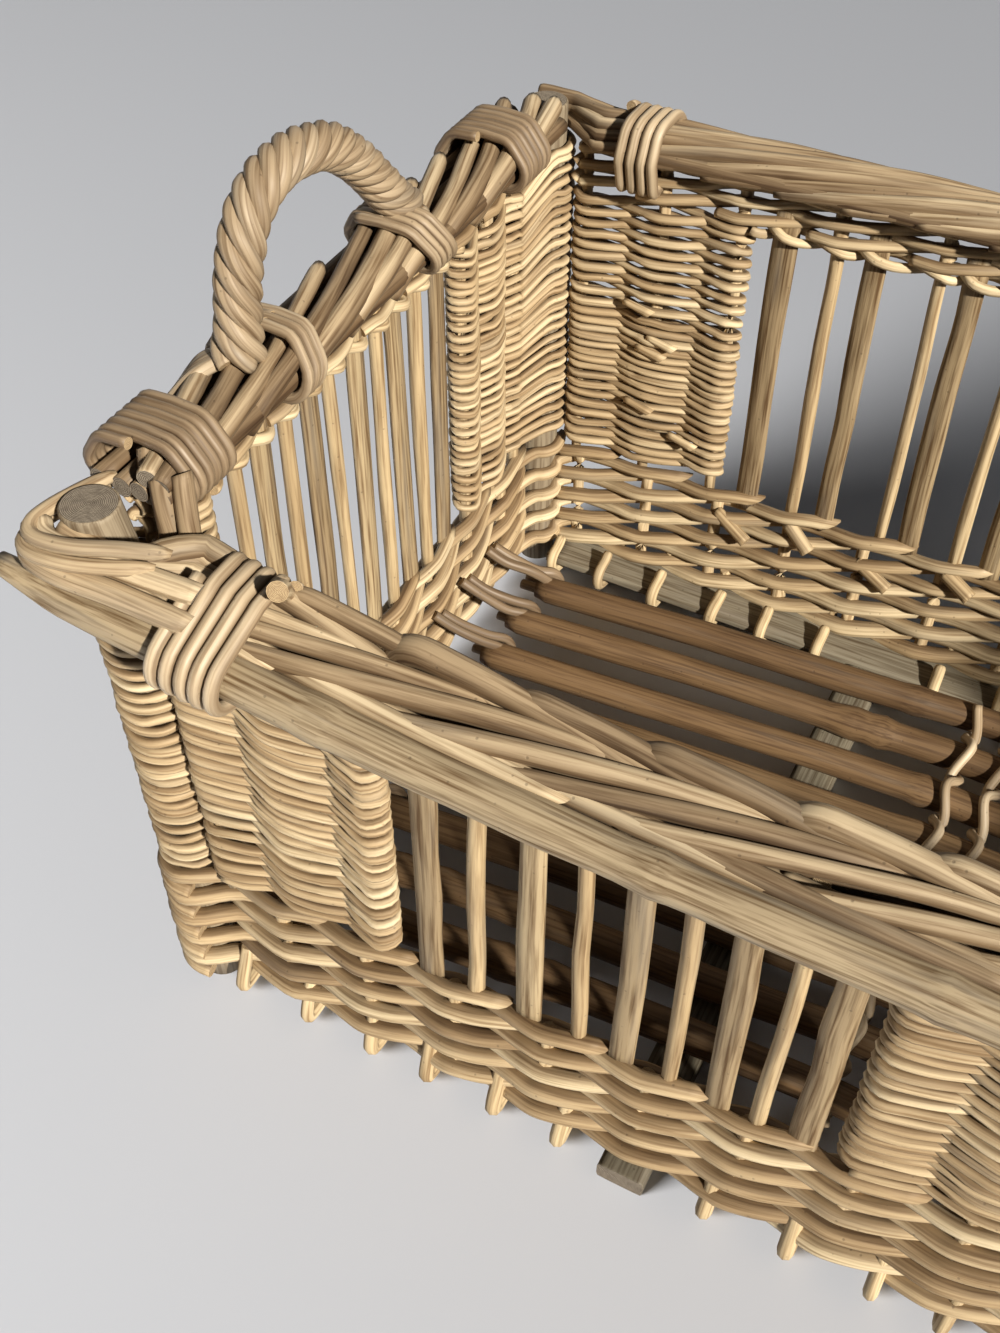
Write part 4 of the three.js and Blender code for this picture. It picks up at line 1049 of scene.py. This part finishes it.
def battens_and_boards():
    """Two battens under the poles, halved at their ends, and a board under each long wall with the
    stake ends bent round it."""
    loop = np.array([(18, 48), (13, 34), (8, 22), (6, 13), (10, 7.5), (24, 6.8), (44, 8), (59, 14),
                     (62, 24), (57, 31), (46, 34), (38, 38.0)])
    for end, sx in ENDS:
        x = sx * BATTEN_AT
        run = np.array([-289.5, -288, -150, 0, 150, 288, 289.5])
        upper = np.stack([np.full(7, x), run * 0.8, np.full(7, 12.0)], axis=-1)
        lower = np.stack([np.full(7, x), run, np.full(7, 8.8)], axis=-1)
        bundles = [squared(upper, 17, 12), squared(lower, 16.9, 8.7)]
        piece("batten_" + end, bundles, [grey_board, grey_end], ["cross_batten_" + end])
    for wall in LONG_WALLS:
        run = np.linspace(-524, 524, 60)
        line = on_wall(wall, run, 37.0, 22.8 + wander((60,), 0.5, 9))
        board = squared(line, 20.5 + wander((60,), 1.2, 14), 4.5)
        places = np.arange(-515, 516, 53.0) + willow.uniform(-5, 5, 20)
        places = places[np.abs(np.abs(places) - BATTEN_AT) > 24]
        hooks = []
        for place in places:
            along = place + np.linspace(0, willow.uniform(-7, 7), len(loop))
            knots = on_wall(wall, along, loop[:, 0], loop[:, 1])
            thick = willow.uniform(4.8, 5.9) * slim_ends(44, 0.85)
            hooks.append(rods(eased(knots, 44), thick, up=(1, 0, 0), tone=willow.uniform(0.5, 1.0)))
        piece("base_board_" + wall, [board], [grey_board, grey_end], ["base_board_" + wall])
        piece("stake_hooks_" + wall, hooks, [stick_willow, pale_end], ())


battens_and_boards()


def floor_ties():
    """Two pairs of canes on each side of mid-length, laced over one pole and under the next, and twisted
    between."""
    places = POLE_PITCH * (np.arange(POLES) - 4.0)
    for end, sx in ENDS:
        bundles = []
        for x in (101.0, 70.0):
            for flip in (1, -1):
                knots = []
                for k, y in enumerate(places):
                    at = y + (12 if sx < 0 else 3)
                    knots.append((sx * x + flip * 4, at - 24, POLE_HEIGHT))
                    knots.append((sx * x - flip * 4, at, POLE_HEIGHT + flip * (-1) ** k * 17.0))
                bundles.append(rods(eased(np.array(knots, float), 150), 4.0, up=(1, 0, 0)))
        piece("floor_lacing_" + end, bundles, [cane, pale_end], ["floor_tie_" + end])


floor_ties()


def pole_end_loops():
    """Thick willow loops that hold the pole ends at the left and right walls, two to a pole."""
    for end, sx in ENDS:
        knots = []
        for index in range(POLES):
            for shift, high in ((-4.0, 62.0), (8.0, 57.0)):
                y = POLE_PITCH * (index - 4) + (-12 if sx < 0 else 0) + shift
                a, b, c = willow.uniform(-4, 4, 3)
                knots.append([(-546, y - 20, high + 22 + a), (-530, y - 14, high + 10),
                              (-510, y - 4, high - 4 + b), (-496, y + 6, 46), (-494, y + 13, 30 + c),
                              (-506, y + 18, 20), (-530, y + 19, 18)])
        paths = eased(knots, 44) * (-sx, 1, 1)
        thick = 4.6 * willow.uniform(0.85, 1.15, (len(knots), 1))
        # The loops are darkened evenly by painted shade through the shade attribute.
        loops = rods(paths, thick, tone=willow.random((len(knots), 1)) * 0.5, shade=0.3)
        piece("pole_end_loops_" + end, [loops], [brown_cane, pale_end], ())


pole_end_loops()


# Stage and light

def lamp(name, kind, energy, toward, lit, place=(0.0, 0.0, 0.0), **settings):
    """A light that shines toward a direction, only on the meshes of one collection."""
    light = bpy.data.lights.new(name, kind)
    light.energy = energy
    for key, value in settings.items():
        setattr(light, key, value)
    thing = bpy.data.objects.new(name, light)
    thing.location = place
    thing.rotation_euler = Vector(toward).to_track_quat("-Z", "Y").to_euler()
    bpy.context.scene.collection.objects.link(thing)
    thing.light_linking.receiver_collection = lit


def stage_and_light():
    """Plain pale floor with soft lights of its own, and for the basket a warm low key light from the right
    front, a weak soft one from the left back, and a soft pale surround."""
    size = 40.0
    mesh = bpy.data.meshes.new("pale_floor")
    corners = [(-size, -size, 0), (size, -size, 0), (size, size, 0), (-size, size, 0)]
    mesh.from_pydata(corners, [], [(0, 1, 2, 3)])
    floor = bpy.data.objects.new("pale_floor", mesh)
    bpy.context.scene.collection.objects.link(floor)
    paper = bpy.data.materials.new("pale_floor_paper")
    paper.use_nodes = True
    shader = paper.node_tree.nodes["Principled BSDF"]
    shader.inputs["Base Color"].default_value = (0.62, 0.62, 0.63, 1)
    shader.inputs["Roughness"].default_value = 0.95
    mesh.materials.append(paper)

    basket = bpy.data.collections.new("lit_by_key")
    for thing in bpy.context.scene.collection.all_objects:
        if thing.type == "MESH" and thing != floor:
            basket.objects.link(thing)
    ground = bpy.data.collections.new("lit_by_floor_light")
    ground.objects.link(floor)
    lamp("key_light", "SUN", 7.2, (-1.42, 0.82, -1.0), basket, angle=math.radians(3.0),
         color=(1.0, 0.95, 0.86))
    lamp("floor_light_front", "AREA", 380.0, (2.6, 3.6, -1.0), ground, (-2.6, -3.6, 1.0), shape="DISK",
         size=2.4)
    lamp("floor_wide", "SUN", 3.0, (2.6, 3.6, -1.9), ground, angle=math.radians(32.0))
    lamp("fill_light", "SUN", 0.45, (1.0, -1.0, -0.45), basket, angle=math.radians(60.0))

    world = bpy.data.worlds.new("studio")
    world.use_nodes = True
    background = world.node_tree.nodes["Background"]
    background.inputs["Color"].default_value = (0.82, 0.89, 1.0, 1)
    background.inputs["Strength"].default_value = 0.065
    bpy.context.scene.world = world
    bpy.context.scene.view_settings.view_transform = "Standard"


stage_and_light()
